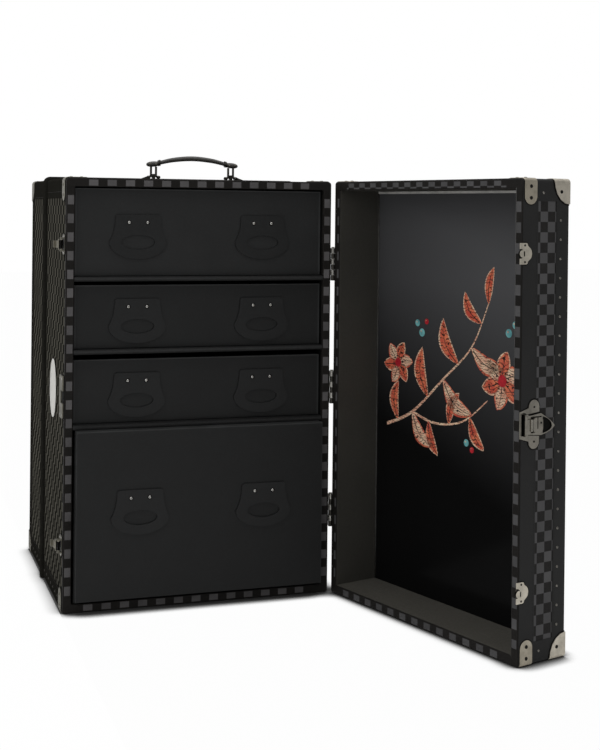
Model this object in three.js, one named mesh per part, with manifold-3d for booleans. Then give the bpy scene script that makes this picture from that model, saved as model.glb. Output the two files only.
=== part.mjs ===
import * as THREE from 'three';
import { mergeVertices } from 'three/addons/utils/BufferGeometryUtils.js';
import Module from 'manifold-3d';

const wasm = await Module();
wasm.setup();

// Overall sizes of the trunk, in millimetres
const caseWidth = 470;
const caseHeight = 730;
const middleDepth = 238;
const rearDepth = 210;
const doorDepth = 98;
const doorOpenAngle = THREE.MathUtils.degToRad(106.5);
const halfTurn = 180;

// Walls, edges and clearances
const wall = 14.5;
const rearPanel = 12;
const doorPanelBoard = 7;
const edgeRadius = 5;
const innerRadius = 2;
const touchGap = 0.3;
const doorLift = 1;
const panelThickness = 2;
const rimGap = 0.6;
const cutOverrun = 5;
const weldDistance = 1e-4;
const arcSteps = 4;
const roundSteps = 16;
const wireSteps = 10;
const roundingSteps = 2;

// Rim binding of the middle section and of the door
const rimDepth = 8;
const rimRounding = 1.2;

// Raised binding around the seam between the middle and the rear section
const seamProud = 6.5;
const seamRidge = 9;
const seamCoreThickness = 3;
const seamRounding = 3;

// Shelves and drawers, from the bottom drawer up
const shelfThickness = 8;
const floorGap = 7.5;
const deepDrawerTopGap = 1;
const lowDrawerHeight = 107;
const lowDrawerTopGap = 10;
const midDrawerHeight = 107;
const midDrawerTopGap = 7;
const topDrawerHeight = 148;
const topDrawerTopGap = 2.5;
const shelfClearance = 1;
const frontSideGap = 2;
const boxSideGap = 4;
const deepSideGap = 4;
const slidingGap = 0.3;
const frontSetback = 12;
const deepFrontProud = 18;
const frontThickness = 12;
const deepFrontThickness = 24;
const drawerBoard = 7;
const drawerBase = 5;
const drawerRimDrop = 12;
const drawerRearGap = 8;

// Leather finger pulls, screwed to the fronts
const pullFromEnd = 108;
const pullWidth = 100;
const pullHeight = 76;
const pullTabWidth = 79;
const pullTabRounding = 6;
const pullShoulder = 29;
const pullThickness = 2.5;
const pullHoleWidth = 58;
const pullHoleHeight = 25;
const pullHoleRise = 29;
const pullDrop = 8;
const deepPullRise = 3.5;

// Hinges on the right side
const hingeHeight = 58;
const hingeSpacing = 219;
const hingeKnuckles = 6;
const knuckleGap = 0.3;
const knuckleRadius = 3.5;
const hingePinRadius = 1.6;
const hingeRunningGap = 0.2;
const hingeAxisProud = 4;
const hingeAxisSteps = 14;
const leafThickness = 2;
const leafLength = 24;
const leafSetback = 6;
const pinHeadRadius = 2.9;
const pinHeadHeight = 1.8;

// Corner caps
const capReach = 36;
const capDepth = 32;
const capRise = 37.5;
const capThickness = 1.5;
const capSteps = 20;

// Sheet metal of the fittings on the left side
const plateThickness = 1.5;
const fittingInset = 5;
const latchFromEnd = 112;

// Draw latches
const latchWidth = 22;
const latchHeight = 34;
const latchRounding = 5;
const earThickness = 2;
const earInner = 9.7;
const earLength = 8;
const earHeight = 8;
const latchPivotRise = 5.3;
const latchPivotInset = 12;
const latchBarrelRadius = 2.4;
const latchPinRadius = 1.2;
const latchPinGap = 0.3;
const leverLength = 25;
const leverThickness = 1.8;
const leverRestAngle = THREE.MathUtils.degToRad(82);
const leverLip = 4;
const leverTipWidth = 12;
const hookPivotAlong = 5;
const hookPivotOff = 3.3;
const hookBarrelRadius = 2;
const hookPinRadius = 1;
const hookLugInner = 7;
const hookLugThickness = 2;
const hookWidth = 12;
const hookThickness = 1.4;
const hookTip = 3.5;

// Keepers on the door
const keeperHeight = 32;
const keeperNeck = 15.5;
const keeperBulge = 24;
const keeperRounding = 4;
const keeperOverhang = 5;
const keeperKnobRadius = 5.5;
const keeperKnobOverhang = 4.3;
const keeperKnobFoot = 2.2;
const keeperKnobTop = 6;
const keeperStemRadius = 2.8;
const keeperStemOverhang = 2;
const keeperSlotWidth = 1.2;
const keeperSlotDepth = 2;
const keeperSteps = 20;

// Clasp in the middle of the door's free side
const claspLobeStart = 16;
const claspLobeWidth = 22;
const claspHeight = 74;
const claspBodyHeight = 50;
const claspNeckHeight = 40;
const claspOverhang = 2;
const claspDrop = 3;
const claspEarInner = 14.5;
const claspPivotAlong = 7;
const claspPivotRise = 5.5;
const claspBarrelRadius = 2.6;
const claspPinRadius = 1.4;
const claspLeverLength = 67;
const claspLeverHalf = 16.5;
const claspTipDrop = 4;
const claspShoulder = 38;
const claspRail = 2.4;
const claspLeverThickness = 3.4;
const claspLeverRise = 2.3;
const claspPointLength = 6;
const claspDishInset = 6;
const claspBlockWidth = 20;
const claspBlockHeight = 22.5;
const claspBlockRise = 10;
const claspBlockSlot = 2;
const claspSlotDepth = 2.5;
const claspBlockGap = 1;
const tongueLength = 8.5;
const tongueThickness = 1.6;
const tongueLipRadius = 2.2;
const tongueWidth = 18;

// Lock plate on the case
const lockInset = 3;
const lockWidth = 33;
const lockHeight = 72;
const lockThickness = 3;
const lockSlotHeight = 21;
const lockSpine = 14;
const lockRounding = 4;

// Carrying handle on the top of the middle section
const handleSetback = 80;
const handleSpan = 141;
const handleAxisRise = 7;
const linkWidth = 13;
const linkWire = 4;
const linkHeight = 17;
const gripRise = 32;
const gripEndRise = 19;
const gripEndLength = 9;
const gripRadius = 4.8;
const gripFlat = 3;
const gripSteps = 14;
const gripCapLength = 26;
const gripCapHeight = 11;
const gripCapDepth = 13;
const gripCapLift = 2.75;
const footLength = 32;
const footInward = 9;
const footDepth = 18;
const footThickness = 2;
const footLugGap = 0.3;
const footLugHalfDepth = 5;
const footRampRise = 8;

// Places worked out from the sizes above
const caseDepth = middleDepth + rearDepth;
const halfWidth = caseWidth / 2;
const frontY = -caseDepth / 2;
const seamY = frontY + middleDepth;
const rearY = caseDepth / 2;
const cavityHalf = halfWidth - wall;
const midHeight = caseHeight / 2;
const hingeX = halfWidth + hingeAxisProud;
const hingeY = frontY - rimGap / 2;
const keeperReach = rimGap + keeperKnobRadius - keeperKnobOverhang;
const hookLength = latchPivotInset + hookPivotAlong + keeperReach + touchGap + hookThickness;

// Materials, one for each finish
function material(color, roughness, metalness) {
  return new THREE.MeshStandardMaterial({ color, roughness, metalness });
}
const caseCanvas = material(0x2b2a27, 0.7, 0);
const rimCanvas = material(0x3a3a3a, 0.65, 0);
const bindingLeather = material(0x1c1b1a, 0.6, 0);
const shelfBoard = material(0x1f1f1e, 0.7, 0);
const drawerLeather = material(0x202121, 0.6, 0);
const drawerBoardFinish = material(0x2a2a29, 0.8, 0);
const glossPanel = material(0x0a0a0a, 0.1, 0);
const nickel = material(0x8c8576, 0.35, 0.9);
const gunmetal = material(0x2c2c2b, 0.45, 0.8);

// Solids: closed meshes for joins and cuts, and meshes made from them
function toSolid(geometry) {
  const bare = geometry.index ? geometry.toNonIndexed() : geometry.clone();
  for (const name of Object.keys(bare.attributes)) {
    if (name !== 'position') bare.deleteAttribute(name);
  }
  const merged = mergeVertices(bare, weldDistance);
  return new wasm.Manifold(new wasm.Mesh({
    numProp: 3,
    vertProperties: new Float32Array(merged.attributes.position.array),
    triVerts: new Uint32Array(merged.index.array),
  }));
}

function toGeometry(solid) {
  const data = solid.getMesh();
  const geometry = new THREE.BufferGeometry();
  geometry.setAttribute('position', new THREE.BufferAttribute(data.vertProperties, 3));
  geometry.setIndex(new THREE.BufferAttribute(data.triVerts, 1));
  return geometry;
}

function join(...solids) {
  return solids.reduce((whole, solid) => whole.add(solid));
}

function cut(solid, ...tools) {
  return tools.reduce((rest, tool) => rest.subtract(tool), solid);
}

// Adds one named piece to a group
function addPiece(group, name, solid, finish) {
  const geometry = toGeometry(solid).toNonIndexed();
  geometry.computeVertexNormals();
  const mesh = new THREE.Mesh(geometry, finish);
  mesh.name = name;
  group.add(mesh);
  return mesh;
}

// A block between two corners
function block(low, high) {
  const size = high.map((value, axis) => value - low[axis]);
  const geometry = new THREE.BoxGeometry(...size);
  geometry.translate(...low.map((value, axis) => value + size[axis] / 2));
  return toSolid(geometry);
}

// A round bar between two points
function bar(from, to, radius, steps = wireSteps) {
  const start = new THREE.Vector3(...from);
  const end = new THREE.Vector3(...to);
  const geometry = new THREE.CylinderGeometry(radius, radius, start.distanceTo(end), steps);
  const along = end.clone().sub(start).normalize();
  const turn = new THREE.Quaternion().setFromUnitVectors(new THREE.Vector3(0, 1, 0), along);
  geometry.applyQuaternion(turn);
  const middle = start.add(end).multiplyScalar(0.5);
  geometry.translate(middle.x, middle.y, middle.z);
  return toSolid(geometry);
}

// Outlines
function roundedRect(left, bottom, right, top, radius) {
  const shape = new THREE.Shape();
  shape.absarc(right - radius, bottom + radius, radius, -Math.PI / 2, 0);
  shape.absarc(right - radius, top - radius, radius, 0, Math.PI / 2);
  shape.absarc(left + radius, top - radius, radius, Math.PI / 2, Math.PI);
  shape.absarc(left + radius, bottom + radius, radius, Math.PI, Math.PI * 1.5);
  shape.closePath();
  return shape;
}

function polygon(points) {
  return new THREE.Shape(points.map(([x, y]) => new THREE.Vector2(x, y)));
}

function ring(outer, inner) {
  const shape = new THREE.Shape(outer.getPoints(arcSteps));
  shape.holes.push(inner);
  return shape;
}

// Extrusions along Y and Z, from a lower to a higher place
function extrude(shape, depth, rounding, steps) {
  const settings = { depth: depth - 2 * rounding, curveSegments: steps, bevelEnabled: rounding > 0 };
  if (rounding > 0) {
    settings.bevelThickness = rounding;
    settings.bevelSize = rounding;
    settings.bevelOffset = -rounding;
    settings.bevelSegments = roundingSteps;
  }
  const geometry = new THREE.ExtrudeGeometry(shape, settings);
  geometry.translate(0, 0, rounding);
  return geometry;
}

function extrudeY(shape, low, high, rounding = 0, steps = arcSteps) {
  const geometry = extrude(shape, high - low, rounding, steps);
  geometry.rotateX(Math.PI / 2);
  geometry.translate(0, high, 0);
  return toSolid(geometry);
}

function extrudeZ(shape, low, high, rounding = 0, steps = arcSteps) {
  const geometry = extrude(shape, high - low, rounding, steps);
  geometry.translate(0, 0, low);
  return toSolid(geometry);
}

// The outline of the case seen from the front, grown or shrunk by a margin
function caseOutline(margin, bottom = 0) {
  const radius = margin < -edgeRadius ? innerRadius : edgeRadius + margin;
  return roundedRect(-halfWidth - margin, bottom - margin, halfWidth + margin, caseHeight + margin, radius);
}

function frameOutline(bottom) {
  return ring(caseOutline(0, bottom), caseOutline(-wall, bottom));
}

// Shells, bindings and shelves of the case
function addCase(group) {
  const shellStart = frontY + rimDepth + touchGap;
  const shellEnd = seamY - touchGap / 2;
  addPiece(group, 'middle_shell', extrudeY(frameOutline(0), shellStart, shellEnd), caseCanvas);
  const rim = extrudeY(frameOutline(0), frontY, frontY + rimDepth, rimRounding);
  addPiece(group, 'middle_rim_binding', rim, rimCanvas);

  const rearStart = seamY + touchGap / 2;
  const rearOuter = extrudeY(caseOutline(0), rearStart, rearY);
  const rearHollow = extrudeY(caseOutline(-wall), rearStart - cutOverrun, rearY - rearPanel);
  addPiece(group, 'rear_shell', cut(rearOuter, rearHollow), caseCanvas);
  addPiece(group, 'seam_binding', seamBinding(), bindingLeather);
}

// Two rounded ridges side by side over the left, top and right faces, ending level with the base
function seamBinding() {
  const seat = extrudeY(caseOutline(touchGap), seamY - 2 * seamRidge, seamY + 2 * seamRidge);
  const belowBase = block(
    [-caseWidth, seamY - 2 * seamRidge, -caseHeight],
    [caseWidth, seamY + 2 * seamRidge, 0],
  );
  const front = extrudeY(caseOutline(seamProud), seamY - seamRidge, seamY - touchGap / 2, seamRounding);
  const rear = extrudeY(caseOutline(seamProud), seamY + touchGap / 2, seamY + seamRidge, seamRounding);
  const core = extrudeY(caseOutline(seamCoreThickness), seamY - seamRidge / 2, seamY + seamRidge / 2);
  return cut(join(front, rear, core), seat, belowBase);
}

// Heights of the shelves' undersides and of the drawer fronts, from the floor of the case up
const cavityFloor = wall;
const cavityTop = caseHeight - wall;
const topDrawerZ = cavityTop - topDrawerTopGap - topDrawerHeight;
const topShelfZ = topDrawerZ - shelfClearance - shelfThickness;
const midDrawerZ = topShelfZ - midDrawerTopGap - midDrawerHeight;
const midShelfZ = midDrawerZ - shelfClearance - shelfThickness;
const lowDrawerZ = midShelfZ - lowDrawerTopGap - lowDrawerHeight;
const lowShelfZ = lowDrawerZ - shelfClearance - shelfThickness;
const deepDrawerZ = cavityFloor + floorGap;
const deepDrawerHeight = lowShelfZ - deepDrawerTopGap - deepDrawerZ;

function addShelves(group) {
  const places = { top: topShelfZ, middle: midShelfZ, low: lowShelfZ };
  for (const [name, low] of Object.entries(places)) {
    const shelf = block(
      [-cavityHalf + touchGap, frontY, low],
      [cavityHalf - touchGap, rearY - rearPanel - touchGap, low + shelfThickness],
    );
    addPiece(group, `shelf_${name}`, shelf, shelfBoard);
  }
}

// One finger pull: a tab that flares into a wide oval around an oval finger hole
function pullOutline() {
  const halfTab = pullTabWidth / 2;
  const halfPull = pullWidth / 2;
  const shape = new THREE.Shape();
  shape.moveTo(-halfTab + pullTabRounding, pullHeight);
  shape.quadraticCurveTo(-halfTab, pullHeight, -halfTab, pullHeight - pullTabRounding);
  shape.quadraticCurveTo(-halfTab, pullHeight - pullShoulder, -halfPull, pullHoleRise);
  shape.absellipse(0, pullHoleRise, halfPull, pullHoleRise, Math.PI, 2 * Math.PI, false, 0);
  shape.quadraticCurveTo(halfTab, pullHeight - pullShoulder, halfTab, pullHeight - pullTabRounding);
  shape.quadraticCurveTo(halfTab, pullHeight, halfTab - pullTabRounding, pullHeight);
  shape.closePath();
  return shape;
}

function pullHole() {
  const hole = new THREE.Shape();
  hole.absellipse(0, pullHoleRise, pullHoleWidth / 2, pullHoleHeight / 2, 0, 2 * Math.PI, false, 0);
  return hole;
}

// A drawer: front board, open tray behind it, and two pulls
function addDrawer(group, name, low, height, seat, frontStart, thickness, sideGap, pullShift) {
  const halfFront = cavityHalf - sideGap;
  const front = block(
    [-halfFront, frontStart, low],
    [halfFront, frontStart + thickness, low + height],
  );
  addPiece(group, `${name}_front`, front, drawerLeather);
  addPiece(group, `${name}_box`, drawerTray(low, height, seat, frontStart + thickness), drawerBoardFinish);

  const pullLow = low + height / 2 + pullShift - pullHeight / 2;
  for (const [side, word] of [[-1, 'left'], [1, 'right']]) {
    const plate = extrudeY(pullOutline(), -pullThickness - touchGap, -touchGap, 0, arcSteps + 1);
    const hole = extrudeY(pullHole(), -pullThickness - cutOverrun, cutOverrun, 0, roundSteps);
    const pull = addPiece(group, `${name}_pull_${word}`, cut(plate, hole), drawerLeather);
    pull.position.set(side * (halfFront - pullFromEnd), frontStart, pullLow);
  }
}

function drawerTray(low, height, seat, start) {
  const half = cavityHalf - boxSideGap;
  const end = rearY - rearPanel - drawerRearGap;
  const floor = seat + slidingGap;
  const top = low + height - drawerRimDrop;
  const outer = block([-half, start + touchGap, floor], [half, end, top]);
  const inner = block(
    [-half + drawerBoard, start - cutOverrun, floor + drawerBase],
    [half - drawerBoard, end - drawerBoard, top + cutOverrun],
  );
  return cut(outer, inner);
}

function addDrawers(group) {
  const shallow = [frontY + frontSetback, frontThickness, frontSideGap, -pullDrop];
  const deep = [frontY - deepFrontProud, deepFrontThickness, deepSideGap, deepPullRise];
  addDrawer(group, 'drawer_top', topDrawerZ, topDrawerHeight, topShelfZ + shelfThickness, ...shallow);
  addDrawer(group, 'drawer_middle', midDrawerZ, midDrawerHeight, midShelfZ + shelfThickness, ...shallow);
  addDrawer(group, 'drawer_low', lowDrawerZ, lowDrawerHeight, lowShelfZ + shelfThickness, ...shallow);
  addDrawer(group, 'drawer_deep', deepDrawerZ, deepDrawerHeight, cavityFloor, ...deep);
}

// Hinges: knuckles alternate between the case leaf and the door leaf, on one pin
const hingeHeights = {
  upper: midHeight + hingeSpacing,
  middle: midHeight,
  lower: midHeight - hingeSpacing,
};

function hingeLeaf(centreZ, direction, firstKnuckle) {
  const low = centreZ - hingeHeight / 2;
  const pitch = hingeHeight / hingeKnuckles;
  const faceX = halfWidth + touchGap;
  const plateY = [hingeY + direction * leafSetback, hingeY + direction * (leafSetback + leafLength)];
  let leaf = block(
    [faceX, Math.min(...plateY), low],
    [faceX + leafThickness, Math.max(...plateY), low + hingeHeight],
  );
  for (let index = firstKnuckle; index < hingeKnuckles; index += 2) {
    const from = low + index * pitch + knuckleGap / 2;
    const to = low + (index + 1) * pitch - knuckleGap / 2;
    const tabY = [hingeY, hingeY + direction * (leafSetback + leafThickness)];
    const tab = block([faceX, Math.min(...tabY), from], [faceX + leafThickness, Math.max(...tabY), to]);
    const barrel = bar([hingeX, hingeY, from], [hingeX, hingeY, to], knuckleRadius, hingeAxisSteps);
    leaf = join(leaf, tab, barrel);
  }
  const bore = bar(
    [hingeX, hingeY, low - cutOverrun],
    [hingeX, hingeY, low + hingeHeight + cutOverrun],
    hingePinRadius + hingeRunningGap,
    hingeAxisSteps,
  );
  return cut(leaf, bore);
}

function hingePin(centreZ) {
  const low = centreZ - hingeHeight / 2;
  const top = centreZ + hingeHeight / 2;
  const shank = bar(
    [hingeX, hingeY, low],
    [hingeX, hingeY, top + pinHeadHeight],
    hingePinRadius,
    hingeAxisSteps,
  );
  const head = bar(
    [hingeX, hingeY, top + touchGap],
    [hingeX, hingeY, top + pinHeadHeight],
    pinHeadRadius,
    hingeAxisSteps,
  );
  return join(shank, head);
}

function addCaseHinges(group) {
  for (const [name, centreZ] of Object.entries(hingeHeights)) {
    addPiece(group, `hinge_${name}_case_leaf`, hingeLeaf(centreZ, 1, 1), gunmetal);
    addPiece(group, `hinge_${name}_pin`, hingePin(centreZ), nickel);
  }
}

function addDoorHinges(group) {
  for (const [name, centreZ] of Object.entries(hingeHeights)) {
    addPiece(group, `hinge_${name}_door_leaf`, hingeLeaf(centreZ, -1, 0), gunmetal);
  }
}

// Corner caps: thin metal over the three faces that meet at an outer corner, level with the base below
function cornerCap(side, isTop, endY, outward, bottom) {
  const cornerZ = isTop ? caseHeight : bottom;
  const centre = [side * halfWidth, endY, cornerZ];
  const inwardEnd = endY - outward * (capReach + cutOverrun);
  const outerEnd = endY + outward * (capThickness + touchGap);
  const innerEnd = endY + outward * touchGap;
  const skin = extrudeY(
    caseOutline(capThickness + touchGap, bottom),
    Math.min(inwardEnd, outerEnd),
    Math.max(inwardEnd, outerEnd),
  );
  const core = extrudeY(
    caseOutline(touchGap, bottom),
    Math.min(inwardEnd - outward * cutOverrun, innerEnd),
    Math.max(inwardEnd - outward * cutOverrun, innerEnd),
  );
  const ball = new THREE.SphereGeometry(1, capSteps, capSteps / 2);
  ball.rotateX(Math.PI / 2);
  ball.scale(capReach, capDepth, capRise);
  ball.translate(...centre);
  const reach = capRise + cutOverrun;
  const belowBase = block(
    [centre[0] - reach, endY - reach, bottom - reach],
    [centre[0] + reach, endY + reach, bottom],
  );
  return cut(cut(skin, core).intersect(toSolid(ball)), belowBase);
}

function addCaps(group, prefix, endY, outward, bottom) {
  for (const [side, sideName] of [[-1, 'left'], [1, 'right']]) {
    for (const isTop of [true, false]) {
      const name = `${prefix}_cap_${isTop ? 'top' : 'bottom'}_${sideName}`;
      addPiece(group, name, cornerCap(side, isTop, endY, outward, bottom), nickel);
    }
  }
}

// Fittings on the left side are drawn flat: x towards the front, y up, z out of the side face
function sideFittings(centreZ) {
  const group = new THREE.Group();
  const turn = new THREE.Matrix4().makeBasis(
    new THREE.Vector3(0, -1, 0),
    new THREE.Vector3(0, 0, 1),
    new THREE.Vector3(-1, 0, 0),
  );
  group.quaternion.setFromRotationMatrix(turn);
  group.position.set(-halfWidth, frontY, centreZ);
  return group;
}

const plateTop = touchGap + plateThickness;
const latchPivotX = -latchPivotInset;

// Fixed half of a draw latch: a plate with two ears for the lever's pin
function latchBase() {
  const outline = roundedRect(
    -fittingInset - latchWidth,
    -latchHeight / 2,
    -fittingInset,
    latchHeight / 2,
    latchRounding,
  );
  const plate = extrudeZ(outline, touchGap, plateTop);
  const ears = [-1, 1].map((side) => block(
    [latchPivotX - earLength / 2, side > 0 ? earInner : -earInner - earThickness, touchGap],
    [latchPivotX + earLength / 2, side > 0 ? earInner + earThickness : -earInner, earHeight],
  ));
  const reach = earInner + earThickness + cutOverrun;
  const bore = bar(
    [latchPivotX, -reach, latchPivotRise],
    [latchPivotX, reach, latchPivotRise],
    latchPinRadius + latchPinGap,
  );
  return cut(join(plate, ...ears), bore);
}

// The lever is drawn along +y from its pin and leaned to its rest angle afterwards
function latchLever() {
  const barrelHalf = earInner - touchGap;
  const barrel = bar([-barrelHalf, 0, 0], [barrelHalf, 0, 0], latchBarrelRadius);
  const pinHalf = earInner + earThickness;
  const pin = bar([-pinHalf, 0, 0], [pinHalf, 0, 0], latchPinRadius);
  const outline = polygon([
    [-barrelHalf, 0],
    [barrelHalf, 0],
    [leverTipWidth / 2, leverLength],
    [-leverTipWidth / 2, leverLength],
  ]);
  const arm = extrudeZ(outline, 0, leverThickness);
  const lip = block(
    [-leverTipWidth / 2, leverLength - leverThickness, 0],
    [leverTipWidth / 2, leverLength, leverLip],
  );
  const lugs = [-1, 1].map((side) => {
    const inner = side * hookLugInner;
    const outer = side * (hookLugInner + hookLugThickness);
    return block(
      [Math.min(inner, outer), hookPivotAlong - hookBarrelRadius, -hookPivotOff - hookPinRadius],
      [Math.max(inner, outer), hookPivotAlong + hookBarrelRadius, leverThickness / 2],
    );
  });
  const crossHalf = hookLugInner + hookLugThickness / 2;
  const cross = bar(
    [-crossHalf, hookPivotAlong, -hookPivotOff],
    [crossHalf, hookPivotAlong, -hookPivotOff],
    hookPinRadius,
  );
  return join(barrel, pin, arm, lip, cross, ...lugs);
}

// The hook swings on the lever's cross pin and reaches for the keeper
function latchHook() {
  const half = hookWidth / 2;
  const eye = bar(
    [-half, hookPivotAlong, -hookPivotOff],
    [half, hookPivotAlong, -hookPivotOff],
    hookBarrelRadius,
  );
  const low = -hookPivotOff - hookThickness / 2;
  const arm = block([-half, hookPivotAlong, low], [half, hookPivotAlong + hookLength, low + hookThickness]);
  const tip = block(
    [-half, hookPivotAlong + hookLength - hookThickness, low - hookTip],
    [half, hookPivotAlong + hookLength, low + hookThickness],
  );
  const bore = bar(
    [-half - cutOverrun, hookPivotAlong, -hookPivotOff],
    [half + cutOverrun, hookPivotAlong, -hookPivotOff],
    hookPinRadius + latchPinGap,
  );
  return cut(join(eye, arm, tip), bore);
}

const latchHeights = { upper: caseHeight - latchFromEnd, lower: latchFromEnd };

function addCaseFittings(group) {
  for (const [name, centreZ] of Object.entries(latchHeights)) {
    const place = sideFittings(centreZ);
    group.add(place);
    addPiece(place, `latch_${name}_base`, latchBase(), nickel);
    const swing = new THREE.Group();
    swing.position.set(latchPivotX, 0, latchPivotRise);
    swing.rotation.set(0, -leverRestAngle, 0);
    place.add(swing);
    const lean = new THREE.Group();
    const axes = new THREE.Matrix4().makeBasis(
      new THREE.Vector3(0, 1, 0),
      new THREE.Vector3(0, 0, 1),
      new THREE.Vector3(1, 0, 0),
    );
    lean.quaternion.setFromRotationMatrix(axes);
    swing.add(lean);
    addPiece(lean, `latch_${name}_lever`, mirrorFace(latchLever()), nickel);
    addPiece(lean, `latch_${name}_hook`, mirrorFace(latchHook()), nickel);
  }
  const place = sideFittings(midHeight - claspDrop);
  group.add(place);
  addPiece(place, 'lock_plate', lockPlate(), nickel);
}

// Turns a lever over, so that its hook lies on the side facing the door
function mirrorFace(solid) {
  return solid.rotate([0, halfTurn, 0]);
}

function lockPlate() {
  const outline = roundedRect(
    -lockInset - lockWidth,
    -lockHeight / 2,
    -lockInset,
    lockHeight / 2,
    lockRounding,
  );
  const plate = extrudeZ(outline, touchGap, touchGap + lockThickness);
  const slot = block(
    [-lockInset - lockWidth + lockSpine, -lockSlotHeight / 2, -cutOverrun],
    [cutOverrun, lockSlotHeight / 2, lockThickness + cutOverrun],
  );
  return cut(plate, slot);
}

// Keeper on the door: a bulged plate that reaches over the rim, with a slotted knob for the hook
function keeper() {
  const half = keeperHeight / 2;
  const left = -keeperOverhang;
  const shape = new THREE.Shape();
  const neck = left + keeperNeck;
  const bulge = left + keeperBulge;
  shape.moveTo(left, -half);
  shape.lineTo(neck - keeperRounding, -half);
  shape.quadraticCurveTo(neck, -half, neck, -half + keeperRounding);
  shape.bezierCurveTo(neck + keeperRounding, -half / 2, bulge, -half / 2, bulge, 0);
  shape.bezierCurveTo(bulge, half / 2, neck + keeperRounding, half / 2, neck, half - keeperRounding);
  shape.quadraticCurveTo(neck, half, neck - keeperRounding, half);
  shape.lineTo(left, half);
  shape.closePath();
  const plate = extrudeZ(shape, touchGap, plateTop);
  const stem = bar(
    [-keeperStemOverhang, 0, touchGap],
    [-keeperStemOverhang, 0, keeperKnobTop - keeperSlotDepth],
    keeperStemRadius,
    keeperSteps,
  );
  const knob = bar(
    [-keeperKnobOverhang, 0, keeperKnobFoot],
    [-keeperKnobOverhang, 0, keeperKnobTop],
    keeperKnobRadius,
    keeperSteps,
  );
  const slotX = -keeperStemOverhang;
  const slot = block(
    [slotX, -keeperStemRadius, keeperKnobTop - keeperSlotDepth],
    [slotX + keeperSlotWidth, keeperStemRadius, keeperKnobTop + cutOverrun],
  );
  return join(plate, stem, cut(knob, slot));
}

// Clasp base: a plate with an upper and a lower lobe, two ears for the lever and the lock block
function claspBase() {
  const lobeCentre = claspLobeStart + claspLobeWidth / 2;
  const lobeRadius = claspLobeWidth / 2;
  const lobeEnd = claspHeight / 2 - lobeRadius;
  const shape = new THREE.Shape();
  shape.moveTo(-claspOverhang, -claspNeckHeight / 2);
  shape.lineTo(claspLobeStart, -claspBodyHeight / 2);
  shape.absarc(lobeCentre, -lobeEnd, lobeRadius, Math.PI, 2 * Math.PI, false);
  shape.absarc(lobeCentre, lobeEnd, lobeRadius, 0, Math.PI, false);
  shape.lineTo(claspLobeStart, claspBodyHeight / 2);
  shape.lineTo(-claspOverhang, claspNeckHeight / 2);
  shape.closePath();
  const plate = extrudeZ(shape, touchGap, plateTop);
  const earReach = claspBarrelRadius + plateThickness;
  const ears = [-1, 1].map((side) => {
    const inner = side * claspEarInner;
    const outer = side * (claspEarInner + earThickness);
    return block(
      [claspPivotAlong - claspBarrelRadius, Math.min(inner, outer), touchGap],
      [claspPivotAlong + claspBarrelRadius, Math.max(inner, outer), claspPivotRise + earReach / 2],
    );
  });
  const boreReach = claspEarInner + earThickness + cutOverrun;
  const bore = bar(
    [claspPivotAlong, -boreReach, claspPivotRise],
    [claspPivotAlong, boreReach, claspPivotRise],
    claspPinRadius + latchPinGap,
  );
  return cut(join(plate, ...ears, lockBlock()), bore);
}

function lockBlock() {
  const start = claspShoulder - claspBlockWidth;
  const half = claspBlockHeight / 2;
  const outline = roundedRect(start, -half, claspShoulder, half, half / 2);
  const body = extrudeZ(outline, touchGap, claspBlockRise);
  const slotX = start + claspBlockWidth / 2 - claspBlockSlot;
  const slot = block(
    [slotX, -half / 2, claspBlockRise - claspSlotDepth],
    [slotX + claspBlockSlot, half + cutOverrun, claspBlockRise + cutOverrun],
  );
  return cut(body, slot);
}

// Clasp lever: two rails around the lock block that close into a pointed, dished grip
function claspLever() {
  const half = claspLeverHalf;
  const neckHalf = claspEarInner - touchGap;
  const shape = new THREE.Shape();
  shape.moveTo(claspPivotAlong, -neckHalf);
  shape.lineTo(claspLobeStart, -neckHalf);
  shape.lineTo(claspShoulder, -half);
  const pointStart = claspLeverLength - claspPointLength;
  shape.quadraticCurveTo(pointStart, -half / 2 - claspTipDrop, claspLeverLength, -claspTipDrop);
  shape.quadraticCurveTo(pointStart, half / 2 - claspTipDrop, claspShoulder, half);
  shape.lineTo(claspLobeStart, neckHalf);
  shape.lineTo(claspPivotAlong, neckHalf);
  shape.closePath();
  const body = extrudeZ(shape, claspLeverRise, claspLeverRise + claspLeverThickness);
  const windowHalf = claspBlockHeight / 2 + claspBlockGap;
  const window = block(
    [claspShoulder - claspBlockWidth - claspBlockGap, -windowHalf, 0],
    [claspShoulder + claspBlockGap, windowHalf, claspBlockRise + cutOverrun],
  );
  const dish = new THREE.Shape();
  const dishStart = claspShoulder + claspBlockGap + claspRail;
  const dishEnd = claspLeverLength - claspDishInset;
  dish.moveTo(dishStart, -half + claspRail);
  dish.quadraticCurveTo(dishEnd, -half / 2 - claspRail, dishEnd, -claspTipDrop);
  dish.quadraticCurveTo(dishEnd, half / 2 - claspRail, dishStart, half - claspRail - claspRail);
  dish.closePath();
  const dishCut = extrudeZ(dish, claspLeverRise + claspLeverThickness / 2, claspBlockRise);
  const barrel = bar(
    [claspPivotAlong, -neckHalf, claspPivotRise],
    [claspPivotAlong, neckHalf, claspPivotRise],
    claspBarrelRadius,
  );
  const pinHalf = claspEarInner + earThickness;
  const pin = bar(
    [claspPivotAlong, -pinHalf, claspPivotRise],
    [claspPivotAlong, pinHalf, claspPivotRise],
    claspPinRadius,
  );
  const tongueRoom = bar(
    [claspPivotAlong, -tongueWidth / 2 - touchGap, claspPivotRise],
    [claspPivotAlong, tongueWidth / 2 + touchGap, claspPivotRise],
    claspBarrelRadius + touchGap,
  );
  return join(cut(join(body, barrel), window, dishCut, tongueRoom), pin);
}

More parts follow.
